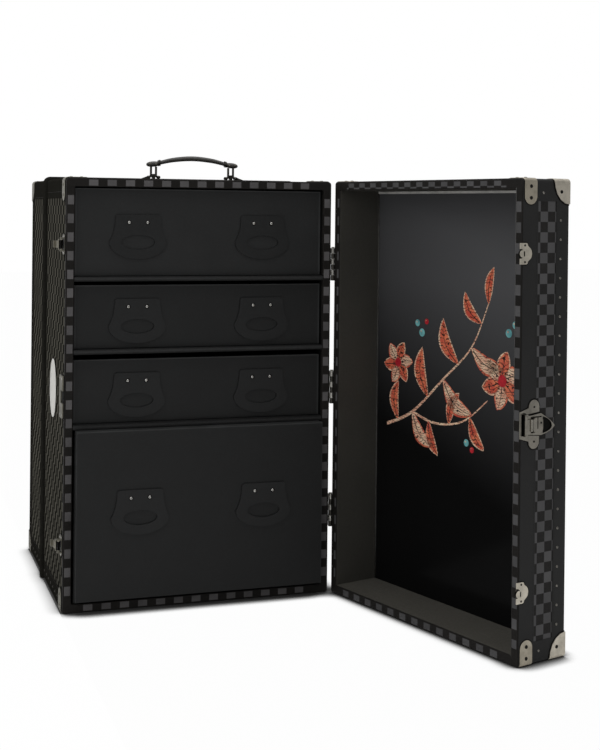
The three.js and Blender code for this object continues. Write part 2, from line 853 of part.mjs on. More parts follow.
// Tongue: a plate with a rolled edge that swings on the lever's pin over to the lock plate
function claspTongue() {
  const half = tongueWidth / 2;
  const eye = bar(
    [claspPivotAlong, -half, claspPivotRise],
    [claspPivotAlong, half, claspPivotRise],
    claspBarrelRadius,
  );
  const top = claspPivotRise + claspBarrelRadius;
  const end = claspPivotAlong + tongueLength;
  const plate = block([claspPivotAlong, -half, top - tongueThickness], [end, half, top]);
  const lipRise = top - tongueThickness + tongueLipRadius;
  const lip = bar([end, -half, lipRise], [end, half, lipRise], tongueLipRadius);
  const bore = bar(
    [claspPivotAlong, -half - cutOverrun, claspPivotRise],
    [claspPivotAlong, half + cutOverrun, claspPivotRise],
    claspPinRadius + latchPinGap,
  );
  return cut(join(eye, plate, lip), bore);
}

function addDoorFittings(group) {
  for (const [name, centreZ] of Object.entries(latchHeights)) {
    const place = sideFittings(centreZ);
    place.position.y = frontY - rimGap;
    group.add(place);
    addPiece(place, `keeper_${name}`, keeper(), nickel);
  }
  const place = sideFittings(midHeight - claspDrop);
  place.position.y = frontY - rimGap;
  group.add(place);
  addPiece(place, 'clasp_base', claspBase(), nickel);
  addPiece(place, 'clasp_lever', claspLever(), nickel);
  addPiece(place, 'clasp_tongue', claspTongue(), nickel);
}

// The door, drawn shut and then swung open about the hinge axis
function addDoor(group) {
  const rimFace = frontY - rimGap;
  const rimBack = rimFace - rimDepth;
  const backFace = frontY - doorDepth;
  const outer = extrudeY(caseOutline(0, doorLift), backFace, rimBack - touchGap);
  const hollow = extrudeY(caseOutline(-wall, doorLift), backFace + doorPanelBoard, rimBack + cutOverrun);
  addPiece(group, 'door_shell', cut(outer, hollow), caseCanvas);
  const rim = extrudeY(frameOutline(doorLift), rimBack, rimFace, rimRounding);
  addPiece(group, 'door_rim_binding', rim, rimCanvas);
  const panelBack = backFace + doorPanelBoard + touchGap;
  const panel = extrudeY(caseOutline(-wall - touchGap, doorLift), panelBack, panelBack + panelThickness);
  addPiece(group, 'door_panel', panel, glossPanel);
  addCaps(group, 'door', backFace, -1, doorLift);
}

// Carrying handle: two feet, two wire links and a bowed grip
function handleFoot(side) {
  const inner = -footInward;
  const outer = footLength - footInward;
  const halfDepth = footDepth / 2;
  const plate = block([inner, -halfDepth, touchGap], [outer, halfDepth, touchGap + footThickness]);
  const lugHalf = linkWidth / 2 - linkWire - footLugGap;
  const lugTop = handleAxisRise + linkWire / 2 + footThickness;
  const lug = block([-lugHalf, -footLugHalfDepth, touchGap], [lugHalf, footLugHalfDepth, lugTop]);
  const rampStart = linkWidth / 2 + footLugGap;
  const ramp = polygon([
    [rampStart, touchGap],
    [outer, touchGap],
    [outer, touchGap + footThickness],
    [rampStart, touchGap + footRampRise],
  ]);
  const flange = extrudeY(ramp, -footLugHalfDepth, footLugHalfDepth);
  const bore = bar(
    [-linkWidth, 0, handleAxisRise],
    [linkWidth, 0, handleAxisRise],
    linkWire / 2 + footLugGap,
  );
  const foot = cut(join(plate, lug, flange), bore);
  return side > 0 ? foot : foot.mirror([1, 0, 0]);
}

function handleLink() {
  const half = (linkWidth - linkWire) / 2;
  const top = handleAxisRise + linkHeight;
  const radius = linkWire / 2;
  const sides = [-1, 1].map((side) => bar([side * half, 0, handleAxisRise], [side * half, 0, top], radius));
  const lower = bar([-half - radius, 0, handleAxisRise], [half + radius, 0, handleAxisRise], radius);
  return join(lower, ...sides);
}

function gripCap(centreX) {
  const geometry = new THREE.SphereGeometry(gripCapLength / 2, roundSteps, roundSteps / 2);
  geometry.scale(1, gripCapDepth / gripCapLength, gripCapHeight / gripCapLength);
  geometry.translate(centreX, 0, gripEndRise + handleAxisRise + gripCapLift);
  const lowEnd = handleAxisRise + linkHeight + touchGap;
  const below = block(
    [centreX - gripCapLength, -gripCapDepth, 0],
    [centreX + gripCapLength, gripCapDepth, lowEnd],
  );
  return cut(toSolid(geometry), below);
}

function handleGrip() {
  const half = handleSpan / 2;
  const endZ = handleAxisRise + gripEndRise + gripCapLift;
  const crown = handleAxisRise + gripRise;
  const bow = new THREE.CatmullRomCurve3([
    new THREE.Vector3(-half, 0, endZ),
    new THREE.Vector3(-half + gripEndLength, 0, endZ + gripFlat / 2),
    new THREE.Vector3(-half / 2, 0, crown - gripFlat),
    new THREE.Vector3(0, 0, crown),
    new THREE.Vector3(half / 2, 0, crown - gripFlat),
    new THREE.Vector3(half - gripEndLength, 0, endZ + gripFlat / 2),
    new THREE.Vector3(half, 0, endZ),
  ]);
  const section = new THREE.Shape();
  section.absellipse(0, 0, gripRadius, gripRadius, 0, 2 * Math.PI, false, 0);
  const geometry = new THREE.ExtrudeGeometry(section, {
    steps: gripSteps,
    extrudePath: bow,
    curveSegments: wireSteps,
    bevelEnabled: false,
  });
  return join(toSolid(geometry), gripCap(-half), gripCap(half));
}

function addHandle(group) {
  const place = new THREE.Group();
  place.position.set(0, frontY + handleSetback, caseHeight);
  group.add(place);
  for (const [side, name] of [[-1, 'left'], [1, 'right']]) {
    const foot = addPiece(place, `handle_foot_${name}`, handleFoot(side), gunmetal);
    foot.position.x = side * handleSpan / 2;
    const link = addPiece(place, `handle_link_${name}`, handleLink(), gunmetal);
    link.position.x = side * handleSpan / 2;
  }
  addPiece(place, 'handle_grip', handleGrip(), bindingLeather);
}

// The whole trunk
const trunk = new THREE.Group();
addCase(trunk);
addShelves(trunk);
addDrawers(trunk);
addCaseHinges(trunk);
addCaps(trunk, 'rear', rearY, 1, 0);
addCaseFittings(trunk);
addHandle(trunk);

const door = new THREE.Group();
addDoor(door);
addDoorHinges(door);
addDoorFittings(door);
door.position.set(-hingeX, -hingeY, 0);
const doorSwing = new THREE.Group();
doorSwing.position.set(hingeX, hingeY, 0);
doorSwing.rotation.z = doorOpenAngle;
doorSwing.add(door);
trunk.add(doorSwing);

export default trunk;
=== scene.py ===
import math

import bmesh
import bpy
from mathutils import Matrix, Vector


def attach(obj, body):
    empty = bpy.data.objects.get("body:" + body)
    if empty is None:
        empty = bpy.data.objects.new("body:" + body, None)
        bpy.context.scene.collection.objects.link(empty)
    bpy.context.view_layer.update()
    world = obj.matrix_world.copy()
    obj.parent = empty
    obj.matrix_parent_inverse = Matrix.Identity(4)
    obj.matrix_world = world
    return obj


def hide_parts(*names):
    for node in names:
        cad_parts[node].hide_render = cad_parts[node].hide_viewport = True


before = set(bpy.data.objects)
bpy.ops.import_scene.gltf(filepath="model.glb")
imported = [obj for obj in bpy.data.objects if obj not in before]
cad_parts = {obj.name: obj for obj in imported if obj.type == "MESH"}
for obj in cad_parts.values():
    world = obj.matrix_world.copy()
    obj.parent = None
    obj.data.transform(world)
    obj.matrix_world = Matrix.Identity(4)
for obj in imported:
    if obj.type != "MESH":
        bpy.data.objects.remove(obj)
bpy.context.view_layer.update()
scene = bpy.context.scene
MM = 0.001

# Places in millimetres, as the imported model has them
HALF = 235.0
HEIGHT = 730.0
FRONT = -224.0
SEAM = 14.0
REAR = 224.0
WALL = 14.5
EDGE = 5.0
RIM = -224.6
DOOR_BACK = -322.0
PANEL = -312.7
DOOR_LIFT = 1.0
CLASP = 362.0
LATCHES = (618.0, 112.0)
HINGES = (146.0, 365.0, 584.0)
HINGE = Vector((239.0, -224.3, 0.0))
DOOR_ANGLE = math.radians(106.5)
SHUT = Matrix.Identity(4)
DOOR = Matrix.Translation(HINGE) @ Matrix.Rotation(DOOR_ANGLE, 4, "Z") @ Matrix.Translation(-HINGE)

# Sizes of the trimmings in millimetres, and the angle from which an edge stays sharp
SQUARE = 15.6
BAND = 0.7
THICK_BAND = BAND + 0.1
BAND_EDGE = 0.35
BORDER = 34
STRAP = 1.9
STRAP_REACH = 38.5
STITCH_PITCH = 5.2
NAIL_PITCH = 29.3
LINE = 1.1
LINE_EDGE = 0.2
SMALL_SCREW_RISE = 1.75
SHARP = math.radians(40)


# A value in a node tree: sums and comparisons with it become math nodes
class Term:
    def __init__(self, shader, socket):
        self.shader, self.socket = shader, socket

    def __rsub__(self, other):
        return self.shader.math("SUBTRACT", other, self)


OPERATIONS = {
    "__abs__": "ABSOLUTE",
    "__add__": "ADD",
    "__sub__": "SUBTRACT",
    "__mul__": "MULTIPLY",
    "__truediv__": "DIVIDE",
    "__mod__": "FLOORED_MODULO",
    "__pow__": "POWER",
    "__lt__": "LESS_THAN",
    "__gt__": "GREATER_THAN",
    "floor": "FLOOR",
    "root": "SQRT",
    "sine": "SINE",
    "least": "MINIMUM",
    "most": "MAXIMUM",
    "scaled": "MULTIPLY_ADD",
}
for method, operation in OPERATIONS.items():
    setattr(Term, method, lambda term, *others, kind=operation: term.shader.math(kind, term, *others))


# The node tree of a material or of the world
class Graph:
    def __init__(self, owner):
        owner.use_nodes = True
        self.tree = owner.node_tree
        self.tree.nodes.clear()

    def node(self, kind, inputs=(), **settings):
        node = self.tree.nodes.new(kind)
        for key, value in settings.items():
            setattr(node, key, value)
        for key, value in dict(inputs).items():
            self.put(node.inputs[key], value)
        return node

    def put(self, socket, value):
        if isinstance(value, Term):
            self.tree.links.new(value.socket, socket)
        elif value is not None:
            socket.default_value = (*value, 1) if socket.type == "RGBA" else value

    def term(self, output, kind, inputs=(), **settings):
        return Term(self, self.node(kind, inputs, **settings).outputs[output])

    def math(self, operation, *values, **settings):
        return self.term(0, "ShaderNodeMath", enumerate(values), operation=operation, **settings)

    def ramp(self, value, low, high, to_low=0.0, to_high=1.0, **settings):
        return self.term(0, "ShaderNodeMapRange", enumerate((value, low, high, to_low, to_high)), **settings)

    def split(self, vector):
        return [Term(self, output) for output in self.node("ShaderNodeSeparateXYZ", {0: vector}).outputs]


# A material. Lengths in it are millimetres, and door materials see the door shut
class Shader(Graph):
    def __init__(self, name, door=False):
        self.mat = bpy.data.materials.new(name)
        super().__init__(self.mat)
        self.door = door
        self.bsdf = self.node("ShaderNodeBsdfPrincipled")
        self.surface = Term(self, self.bsdf.outputs[0])
        self.out = self.node("ShaderNodeOutputMaterial", {0: self.surface})
        self.coord = self.node("ShaderNodeTexCoord")

    def mix(self, factor, a, b):
        return self.term(2, "ShaderNodeMix", {0: factor, 6: a, 7: b}, data_type="RGBA")

    def tint(self, colour, strength):
        inputs = {0: 1, 6: colour, 7: strength}
        return self.term(2, "ShaderNodeMix", inputs, data_type="RGBA", blend_type="MULTIPLY")

    def blend(self, factor, a, b):
        return self.term(0, "ShaderNodeMix", {0: factor, 2: a, 3: b}, data_type="FLOAT")

    def turn(self, vector, centre):
        inputs = {"Vector": vector, "Center": centre, "Angle": -DOOR_ANGLE}
        return self.term(0, "ShaderNodeVectorRotate", inputs, rotation_type="Z_AXIS")

    def place(self):
        inputs = {0: Term(self, self.coord.outputs["Object"]), "Scale": 1 / MM}
        place = self.term(0, "ShaderNodeVectorMath", inputs, operation="SCALE")
        return self.turn(place, HINGE) if self.door else place

    def facing(self):
        normal = Term(self, self.coord.outputs["Normal"])
        return self.turn(normal, (0, 0, 0)) if self.door else normal

    def stretch(self, vector, scale):
        return self.term(0, "ShaderNodeMapping", {"Vector": vector, "Scale": scale})

    def noise(self, vector, scale, detail=3.0, rough=0.55):
        inputs = {"Vector": vector, "Scale": scale, "Detail": detail, "Roughness": rough}
        return self.term(0, "ShaderNodeTexNoise", inputs)

    def cells(self, vector, scale):
        inputs = {"Vector": vector, "Scale": scale}
        return self.term("Distance", "ShaderNodeTexVoronoi", inputs, feature="SMOOTH_F1")

    def white(self, a, b):
        vector = self.term(0, "ShaderNodeCombineXYZ", {0: a, 1: b})
        return self.term("Value", "ShaderNodeTexWhiteNoise", {"Vector": vector}, noise_dimensions="3D")

    def bump(self, height, distance, strength=1.0):
        inputs = {"Height": height, "Distance": distance * MM, "Strength": strength}
        return self.term(0, "ShaderNodeBump", inputs)

    def finish(self, colour, roughness, normal, specular=None, metallic=None):
        keys = ("Base Color", "Roughness", "Normal", "Specular IOR Level", "Metallic")
        for key, value in zip(keys, (colour, roughness, normal, specular, metallic)):
            self.put(self.bsdf.inputs[key], value)
        return self.mat


def tone(colour, factor):
    return tuple(c * factor for c in colour)


# Pebbled leather, with painted highlights along its edges at the given heights
def leather(name, colour, roughness, grain, depth, specular, door=False, edges=()):
    s = Shader(name, door)
    p = s.place()
    cloud = s.noise(p, 0.02, 4)
    wear = s.noise(p, 0.25, 5, 0.65)
    hide = s.mix(s.ramp(wear, 0.45, 0.75), tone(colour, 0.9), tone(colour, 1.3))
    hide = s.tint(hide, cloud.scaled(0.5, 0.75))
    if edges:
        x, y, z = s.split(p)
        # painted highlight: the sides and the edges at the given heights are paled where light would catch them
        rim = (abs(x) > 215.4) * 0.6
        for edge in edges:
            rim = rim.most(abs(z - edge) < 2.0)
        hide = s.mix(rim * s.ramp(cloud, 0.3, 0.7, 0.5, 1.0), hide, tone(colour, 3.4))
    height = s.noise(p, grain * 3, 2).scaled(0.35, s.cells(p, grain))
    rough = s.ramp(cloud.scaled(0.5, wear), 0.5, 1.1, roughness - 0.06, roughness + 0.1)
    return s.finish(hide, rough, s.bump(height, depth), specular)


def weave(s, p):
    x, y, z = ((axis * 5.2).sine() for axis in s.split(p))
    return x * y + z * (x + y)


def canvas(s, p, colour, smooth, rough, specular):
    height = s.noise(p, 1.4, 3).scaled(0.8, weave(s, p))
    roughness = s.ramp(s.noise(p, 0.3, 3), 0.3, 0.7, smooth, rough)
    return s.finish(colour, roughness, s.bump(height, 0.035), specular)


# Check canvas: squares on every outer face, and the tone changes a little from square to square
def check_canvas(name, light, dark, lining, phase_u, phase_v, specular, door=False):
    s = Shader(name, door)
    p = s.place()
    x, y, z = s.split(p)
    nx, ny, nz = s.split(s.facing())
    column = ((s.blend(abs(nx) > 0.7, x, y) - phase_u) / SQUARE).floor()
    line = ((s.blend(abs(nz) > 0.7, z, y) - phase_v) / SQUARE).floor()
    squares = s.mix((column + line) % 2.0, light, dark)
    behind = y > DOOR_BACK + 5 if door else y < REAR - 6
    inner = (abs(x) < HALF - 6) * (abs(z - HEIGHT / 2) < HEIGHT / 2 - 6) * behind
    vary = s.white(column, line).scaled(0.22, 0.89)
    cloud = s.noise(p, 0.012, 4).scaled(0.5, 0.75)
    colour = s.tint(s.mix(inner, squares, lining), s.blend(inner, vary, 1.0) * cloud)
    return canvas(s, p, colour, 0.65, 0.8, specular)


# Rim binding: a row of squares along each side of the rim, plain at the corners. On the door the upper
# side shows part of a second row, the hinge side is narrow and the free side has a pale inner edge
def rim_canvas(name, starts, pale, door=False):
    left, right, top, bottom = starts
    s = Shader(name, door)
    p = s.place()
    x, y, z = s.split(p)
    nx, ny, nz = s.split(s.facing())
    from_side = HALF - abs(x)
    from_end = z.least(HEIGHT - z)
    upright = from_side < from_end
    depth = from_side.least(from_end)
    is_left = x < 0.0
    is_low = z < HEIGHT / 2
    start = s.blend(upright, s.blend(is_low, top, bottom), s.blend(is_left, right, left))
    pitch, outer, second = SQUARE, 2.6, None
    if door:
        upper = (1.0 - upright) * (1.0 - is_low)
        second = upper * (depth > 10.2)
        pitch = upper.scaled(-0.25, SQUARE)
        outer = (upright * (1.0 - is_left)).scaled(5.6, 2.6)
    number = ((s.blend(upright, x, z) - start) / pitch).floor()
    odd = number % 2.0
    if door:
        odd = abs(odd - second)
    inside = s.blend(upright, abs(x) < 200.0, abs(z - HEIGHT / 2) < 337.5)
    light = (1.0 - odd) * inside * (depth > outer) * (depth < 12.8) * (abs(ny) > 0.5)
    colour = s.mix(light, (0.0105, 0.0093, 0.0083), pale)
    if door:
        inner = (depth > 13.3) * upright * is_left
        colour = s.mix(inner * s.ramp(z, 60.0, 600.0, 0.2, 1.0), colour, (0.17, 0.168, 0.165))
    vary = s.white(number, upright).scaled(0.3, 0.85)
    cloud = s.noise(p, 0.05, 4).scaled(0.4, 0.8)
    return canvas(s, p, s.tint(colour, vary * cloud), 0.5, 0.65, 0.12)


# Worn brushed metal. A mask from a place can add painted shade, a near-black colour, in a fitting's recesses
def metal(name, colour, roughness, door=False, painted_shade=None, metallic=1.0):
    s = Shader(name, door)
    p = s.place()
    cloud = s.noise(p, 0.06, 5, 0.6)
    brushed = s.noise(s.stretch(p, (0.35, 0.35, 5.0)), 0.8, 3)
    spots = s.noise(p, 0.9, 5, 0.7)
    surface = s.mix(s.ramp(spots.scaled(0.5, cloud), 0.62, 1.0), colour, tone(colour, 0.65))
    # painted shade: a near-black colour in the masked recesses
    if painted_shade:
        surface = s.mix(painted_shade(*s.split(p)), surface, (0.006, 0.006, 0.0055))
    rough = s.ramp(brushed.scaled(0.5, cloud), 0.5, 1.1, roughness - 0.06, roughness + 0.14)
    return s.finish(surface, rough, s.bump(brushed.scaled(0.6, spots), 0.012), metallic=metallic)


# Painted shade in the recesses of a fitting on the left side: close to a height, within a run and near the face
def recess_shade(heights, half, near, far, rise):
    def painted_shade(x, y, z):
        close = abs(z - heights[0]) < half
        for height in heights[1:]:
            close = close.most(abs(z - height) < half)
        return (-HALF - x < rise) * (y < near) * (y > far) * close

    return painted_shade


# Painted shade on the keepers: a dark line round the knob and a dark slot beside it
def keeper_shade(x, y, z):
    rise = abs(z - LATCHES[0]).least(abs(z - LATCHES[1]))
    away = y - (RIM + 4.3)
    far = (away * away + rise * rise).root()
    line = (-HALF - x < 5.5) * (far > 5.0) * (far < 7.2)
    slot = (abs(y - (RIM + 0.6)) < 1.0) * (rise < 4.2)
    return line.most(slot) * (x < 0.0)


def glossy(s, p, colour, dust, roughness, specular):
    smear = s.noise(s.stretch(p, (1.0, 1.0, 0.4)), 0.012, 4)
    dusty = s.ramp(s.noise(p, 1.1, 6, 0.75), 0.62, 0.8) * dust
    rough = s.ramp(smear, 0.3, 0.7, roughness - 0.03, roughness + 0.06)
    return s.finish(s.mix(dusty, colour, (0.05, 0.05, 0.05)), rough, s.bump(smear, 0.3, 0.3), specular)


# Black lacquer with a painted reflection of the light above: it pales softly towards its top
def lacquer(name):
    s = Shader(name, True)
    p = s.place()
    x, y, z = s.split(p)
    # painted reflection: the colour pales from near black to grey towards the top and one side
    rise = s.ramp(x.scaled(-0.35, z), 230.0, 640.0)
    pale = (rise * s.ramp(z, 735.0, 560.0, 0.72, 1.0)) ** 1.4
    colour = s.mix(pale, (0.0052, 0.0052, 0.0052), (0.096, 0.0965, 0.1005))
    return glossy(s, p, colour, 0.05, 0.14, 0.03)


def enamel(name, colour):
    s = Shader(name)
    return glossy(s, s.place(), colour, 0.25, 0.3, 0.5)


# Printed ink: mottled between two tones with fine dark lines
def ink(name, light, deep, line=0.0):
    s = Shader(name, True)
    p = s.place()
    colour = s.mix(s.ramp(s.noise(p, 0.07, 4), 0.35, 0.65), light, deep)
    if line:
        wave = s.noise(p, 0.09, 3).scaled(22.0, s.split(p)[2] * line).sine()
        colour = s.mix(s.ramp(wave, 0.72, 0.86), colour, (0.012, 0.008, 0.008))
    rough = s.ramp(s.noise(p, 0.2, 3), 0.3, 0.7, 0.25, 0.4)
    return s.finish(colour, rough, s.bump(s.noise(p, 0.8, 3), 0.02), 0.3)


# Woven cloth. At the shelf heights it is given, painted shade lies above and below a pale front edge line
def cloth(name, colour, door=False, specular=0.25, nosing_shade=(), lining_floor_light=None):
    s = Shader(name, door)
    p = s.place()
    z = s.split(p)[2]
    cloud = s.noise(p, 0.01, 4).scaled(0.5, 0.75)
    fibre = s.mix(s.ramp(s.noise(p, 2.2, 3), 0.35, 0.65), colour, tone(colour, 0.72))
    # painted light: the lining's floor is paled by this factor for the light from above that falls on it
    if lining_floor_light:
        cloud = cloud * s.blend(z < 16.4, 1.0, lining_floor_light)
    # painted shade round each shelf's front edge, leaving a pale line along it
    for low in nosing_shade:
        edge = s.ramp(abs(z - (low + 4.4)), 0.6, 3.4, 1.0, 0.22)
        cloud = cloud * s.blend(abs(z - (low + 4.0)) < 5.0, 1.0, edge)
    height = s.noise(p, 2.5, 2).scaled(0.8, weave(s, p))
    rough = s.ramp(s.noise(p, 0.2, 2), 0.3, 0.7, 0.6, 0.75)
    return s.finish(s.tint(fibre, cloud), rough, s.bump(height, 0.05), specular)


PALE_SQUARE = (0.083, 0.0795, 0.0665)
LIGHT_SQUARE = (0.073, 0.072, 0.0735)
DARK_SQUARE = (0.0118, 0.0108, 0.0102)
# masks of painted shade for the recesses of the latch plates, latch levers and clasp
LATCH_PLATE_SHADE = recess_shade(LATCHES, 9.6, FRONT + 26, FRONT + 5, 4.4)
LATCH_LEVER_SHADE = recess_shade(LATCHES, 7.4, FRONT + 25, FRONT + 9, 9.5)
CLASP_DISH_SHADE = recess_shade((CLASP,), 16.0, RIM - 1, RIM - 64, 5.2)
MATERIALS = {
    # partly the leather's own tone, partly painted sheen: the case binding is paler and olive for the left side's
    # grazing sheen, with specular off
    "binding_case": (leather, (0.017, 0.0164, 0.014), 0.6, 0.9, 0.05, 0.0),
    "binding_door": (leather, (0.015, 0.015, 0.0148), 0.6, 0.9, 0.05, 0.2, True),
    # painted shade: the case's nickel is a darker copy of the door's, for the dim left side
    "nickel_case": (metal, (0.2, 0.19, 0.155), 0.46, False, LATCH_PLATE_SHADE),
    "nickel_door": (metal, (0.62, 0.575, 0.485), 0.36, True, keeper_shade),
    "hinge": (metal, (0.42, 0.41, 0.38), 0.26),
    # painted shade: darker copy of the door's strap metal, for the dim left side
    "strap_case": (metal, (0.25, 0.24, 0.2), 0.45),
    "lever": (metal, (0.3, 0.285, 0.235), 0.42, False, LATCH_LEVER_SHADE),
    "screw_door": (metal, (0.022, 0.021, 0.019), 0.3, True),
    "nail_door": (metal, (0.2, 0.19, 0.17), 0.26, True),
    "strap_door": (metal, (0.48, 0.435, 0.35), 0.36, True),
    "clasp": (metal, (0.28, 0.262, 0.226), 0.3, True, CLASP_DISH_SHADE),
    "bright": (metal, (0.6, 0.59, 0.56), 0.2),
    # partly the canvas's own tone, partly painted sheen: the case squares are paler and olive for the left side's
    # grazing sheen, with specular off
    "canvas_case": (check_canvas, PALE_SQUARE, (0.0135, 0.013, 0.0108), (0.008, 0.008, 0.0078), 0.0, 12.5, 0.0),
    "canvas_door": (check_canvas, LIGHT_SQUARE, DARK_SQUARE, (0.03, 0.028, 0.024), RIM - 37.8, 26.0, 0.2, True),
    "rim_case": (rim_canvas, (30.0, 29.0, 21.25, 18.25), (0.092, 0.088, 0.089)),
    "rim_door": (rim_canvas, (25.0, 29.8, 26.25, 27.0), LIGHT_SQUARE, True),
    # painted highlights along the drawer fronts' edges at these heights
    "front": (leather, (0.0102, 0.0106, 0.0106), 0.52, 1.3, 0.02, 0.25, False, (713.0, 549.0, 423.0, 306.0)),
    "front_top": (leather, (0.0128, 0.0133, 0.0134), 0.5, 1.3, 0.02, 0.28, False, (713.0,)),
    "pull": (leather, (0.0098, 0.0102, 0.0103), 0.45, 1.3, 0.02, 0.27),
    "grip": (leather, (0.05, 0.048, 0.044), 0.4, 0.9, 0.03, 0.35),
    "board": (cloth, (0.02, 0.02, 0.019)),
    "shelf": (cloth, (0.026, 0.0265, 0.0265), False, 0.25, (556.0, 433.0, 307.0)),
    # painted light on the lining's floor, 1.75 times paler
    "lining": (cloth, (0.047, 0.0445, 0.038), True, 0.25, (), 1.75),
    "panel": (lacquer,),
    "trim": (metal, (0.24, 0.235, 0.225), 0.35, True),
    "trim_top": (metal, (0.6, 0.59, 0.56), 0.4, True, None, 0.15),
    "enamel": (enamel, (0.74, 0.725, 0.68)),
    "orange": (ink, (0.72, 0.2, 0.1), (0.5, 0.07, 0.045), 0.9),
    "cream": (ink, (0.8, 0.6, 0.42), (0.62, 0.3, 0.2), 1.3),
    "black_ink": (ink, (0.008, 0.006, 0.006), (0.02, 0.015, 0.015)),
    "teal": (ink, (0.2, 0.5, 0.5), (0.08, 0.26, 0.28)),
    "red": (ink, (0.5, 0.02, 0.03), (0.3, 0.01, 0.02)),
}
M = {key: make(key, *values) for key, (make, *values) in MATERIALS.items()}
for tag, on_door in (("case", False), ("door", True)):
    M[f"thread_{tag}"] = cloth(f"thread_{tag}", (0.02, 0.019, 0.018), on_door, 0.15)
    M[f"gunmetal_{tag}"] = metal(f"gunmetal_{tag}", (0.06, 0.057, 0.05), 0.4, on_door)
    M[f"shade_{tag}"] = cloth(f"shade_{tag}", (0.0035, 0.0033, 0.003), on_door, 0.1)


# Finishes of the carried-over nodes, with a small bevel where edges show
def paint(node, material, bevel=0.0, steps=2):
    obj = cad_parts[node]
    if not obj.data.materials:
        obj.data.materials.append(M[material])
    for slot in obj.material_slots:
        slot.material = M[material]
    if bevel:
        mod = obj.modifiers.new("edges", "BEVEL")
        mod.width = bevel * MM
        mod.segments = steps
        mod.limit_method = "ANGLE"
        mod.angle_limit = math.radians(35)
        mod.harden_normals = True


# Nodes by name, where * stands for each of the words in turn
CORNERS = "top_left top_right bottom_left bottom_right"
FINISHES = (
    ("*_shell", "middle rear", "canvas_case"),
    ("door_*", "shell", "canvas_door"),
    ("door_*", "rim_binding", "rim_door"),
    ("door_*", "panel", "panel", 0.4),
    ("middle_*", "rim_binding", "rim_case"),
    ("*", "seam_binding handle_grip", "binding_case"),
    ("lock_*", "plate", "nickel_case", 0.5),
    ("shelf_*", "top middle low", "shelf", 2.2, 3),
    ("drawer_*_front", "top", "front_top", 1.3, 3),
    ("drawer_*_front", "middle low deep", "front", 1.3, 3),
    ("drawer_*_box", "top middle low deep", "board", 0.8),
    ("drawer_*_pull_left", "top middle low deep", "pull", 0.6),
    ("drawer_*_pull_right", "top middle low deep", "pull", 0.6),
    ("hinge_*_case_leaf", "upper middle lower", "hinge"),
    ("hinge_*_door_leaf", "upper middle lower", "gunmetal_door"),
    ("hinge_*_pin", "upper middle lower", "nickel_case"),
    ("rear_cap_*", CORNERS, "nickel_case", 0.3),
    ("door_cap_*", CORNERS, "nickel_door", 0.3),
    ("latch_*_base", "upper lower", "nickel_case", 0.3),
    ("latch_*", "upper_lever upper_hook lower_lever lower_hook", "lever", 0.3),
    ("keeper_*", "upper lower", "nickel_door", 0.4),
    ("clasp_*", "base lever tongue", "clasp", 0.4),
    ("handle_*", "foot_left foot_right link_left link_right", "gunmetal_case", 0.3),
)
for pattern, words, *finish in FINISHES:
    for word in words.split():
        paint(pattern.replace("*", word), *finish)


# Mesh helpers. Points are in millimetres with the door shut, and door pieces are swung open at the end
def as_mesh(bm, name="part"):
    mesh = bpy.data.meshes.new(name)
    bm.to_mesh(mesh)
    bm.free()
    return mesh


def add_object(name, data):
    obj = bpy.data.objects.new(name, data)
    scene.collection.objects.link(obj)
    return obj


def deliver(name, bm, material, body, replaced=()):
    swing = DOOR if body == "door" else SHUT
    bmesh.ops.remove_doubles(bm, verts=bm.verts, dist=0.004)
    bmesh.ops.transform(bm, matrix=Matrix.Scale(MM, 4) @ swing, verts=bm.verts)
    for face in bm.faces:
        face.smooth = True
    for edge in bm.edges:
        edge.smooth = not (len(edge.link_faces) == 2 and edge.calc_face_angle(0) > SHARP)
    mesh = as_mesh(bm, name)
    mesh.materials.append(M[material])
    obj = add_object(name, mesh)
    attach(obj, body)
    if replaced:
        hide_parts(*replaced)


def merge(bm, mesh):
    bm.from_mesh(mesh)
    bpy.data.meshes.remove(mesh)


# Faces between loops of vertices that follow each other
def bridge(bm, loops, closed=True, flip=False):
    for one, two in zip(loops, loops[1:]):
        for n in range(len(one) if closed else len(one) - 1):
            m = (n + 1) % len(one)
            if flip:
                bm.faces.new((one[n], one[m], two[m], two[n]))
            else:
                bm.faces.new((one[n], two[n], two[m], one[m]))


def cone(bm, loop, tip):
    tip = bm.verts.new(tip)
    for n in range(len(loop)):
        bm.faces.new((loop[n], loop[(n + 1) % len(loop)], tip))


def tube(bm, loops):
    bridge(bm, loops)
    bm.faces.new(loops[0])
    bm.faces.new(loops[-1][::-1])


def arc(u, v, radius, start, end, step=15):
    turns = [math.radians(degrees) for degrees in range(start, end + 1, step)]
    return [(u + radius * math.cos(turn), v + radius * math.sin(turn)) for turn in turns]


def ellipse(u, v, a, b, steps=48):
    turns = [2 * math.pi * k / steps for k in range(steps)]
    return [(u + a * math.cos(turn), v + b * math.sin(turn)) for turn in turns]


def rect(u0, v0, u1, v1, radius=0.0):
    if not radius:
        return [(u0, v0), (u1, v0), (u1, v1), (u0, v1)]
    left, right, low, high = u0 + radius, u1 - radius, v0 + radius, v1 - radius
    points = []
    for quarter, (u, v) in enumerate(((right, low), (right, high), (left, high), (left, low))):
        start = -90 + 90 * quarter
        points += arc(u, v, radius, start, start + 90, 18)
    return points


def inset(outline, amount):
    points = []
    for index, point in enumerate(outline):
        before = (point - outline[index - 1]).normalized()
        after = (outline[(index + 1) % len(outline)] - point).normalized()
        side = Vector((-before.y, before.x)) + Vector((-after.y, after.x))
        reach = side.dot(Vector((-before.y, before.x)))
        points.append(point + side * (amount / max(reach, 0.4)))
    return points


TOP_RUN = 2 * (HALF - EDGE)
ARC = EDGE * math.pi / 2


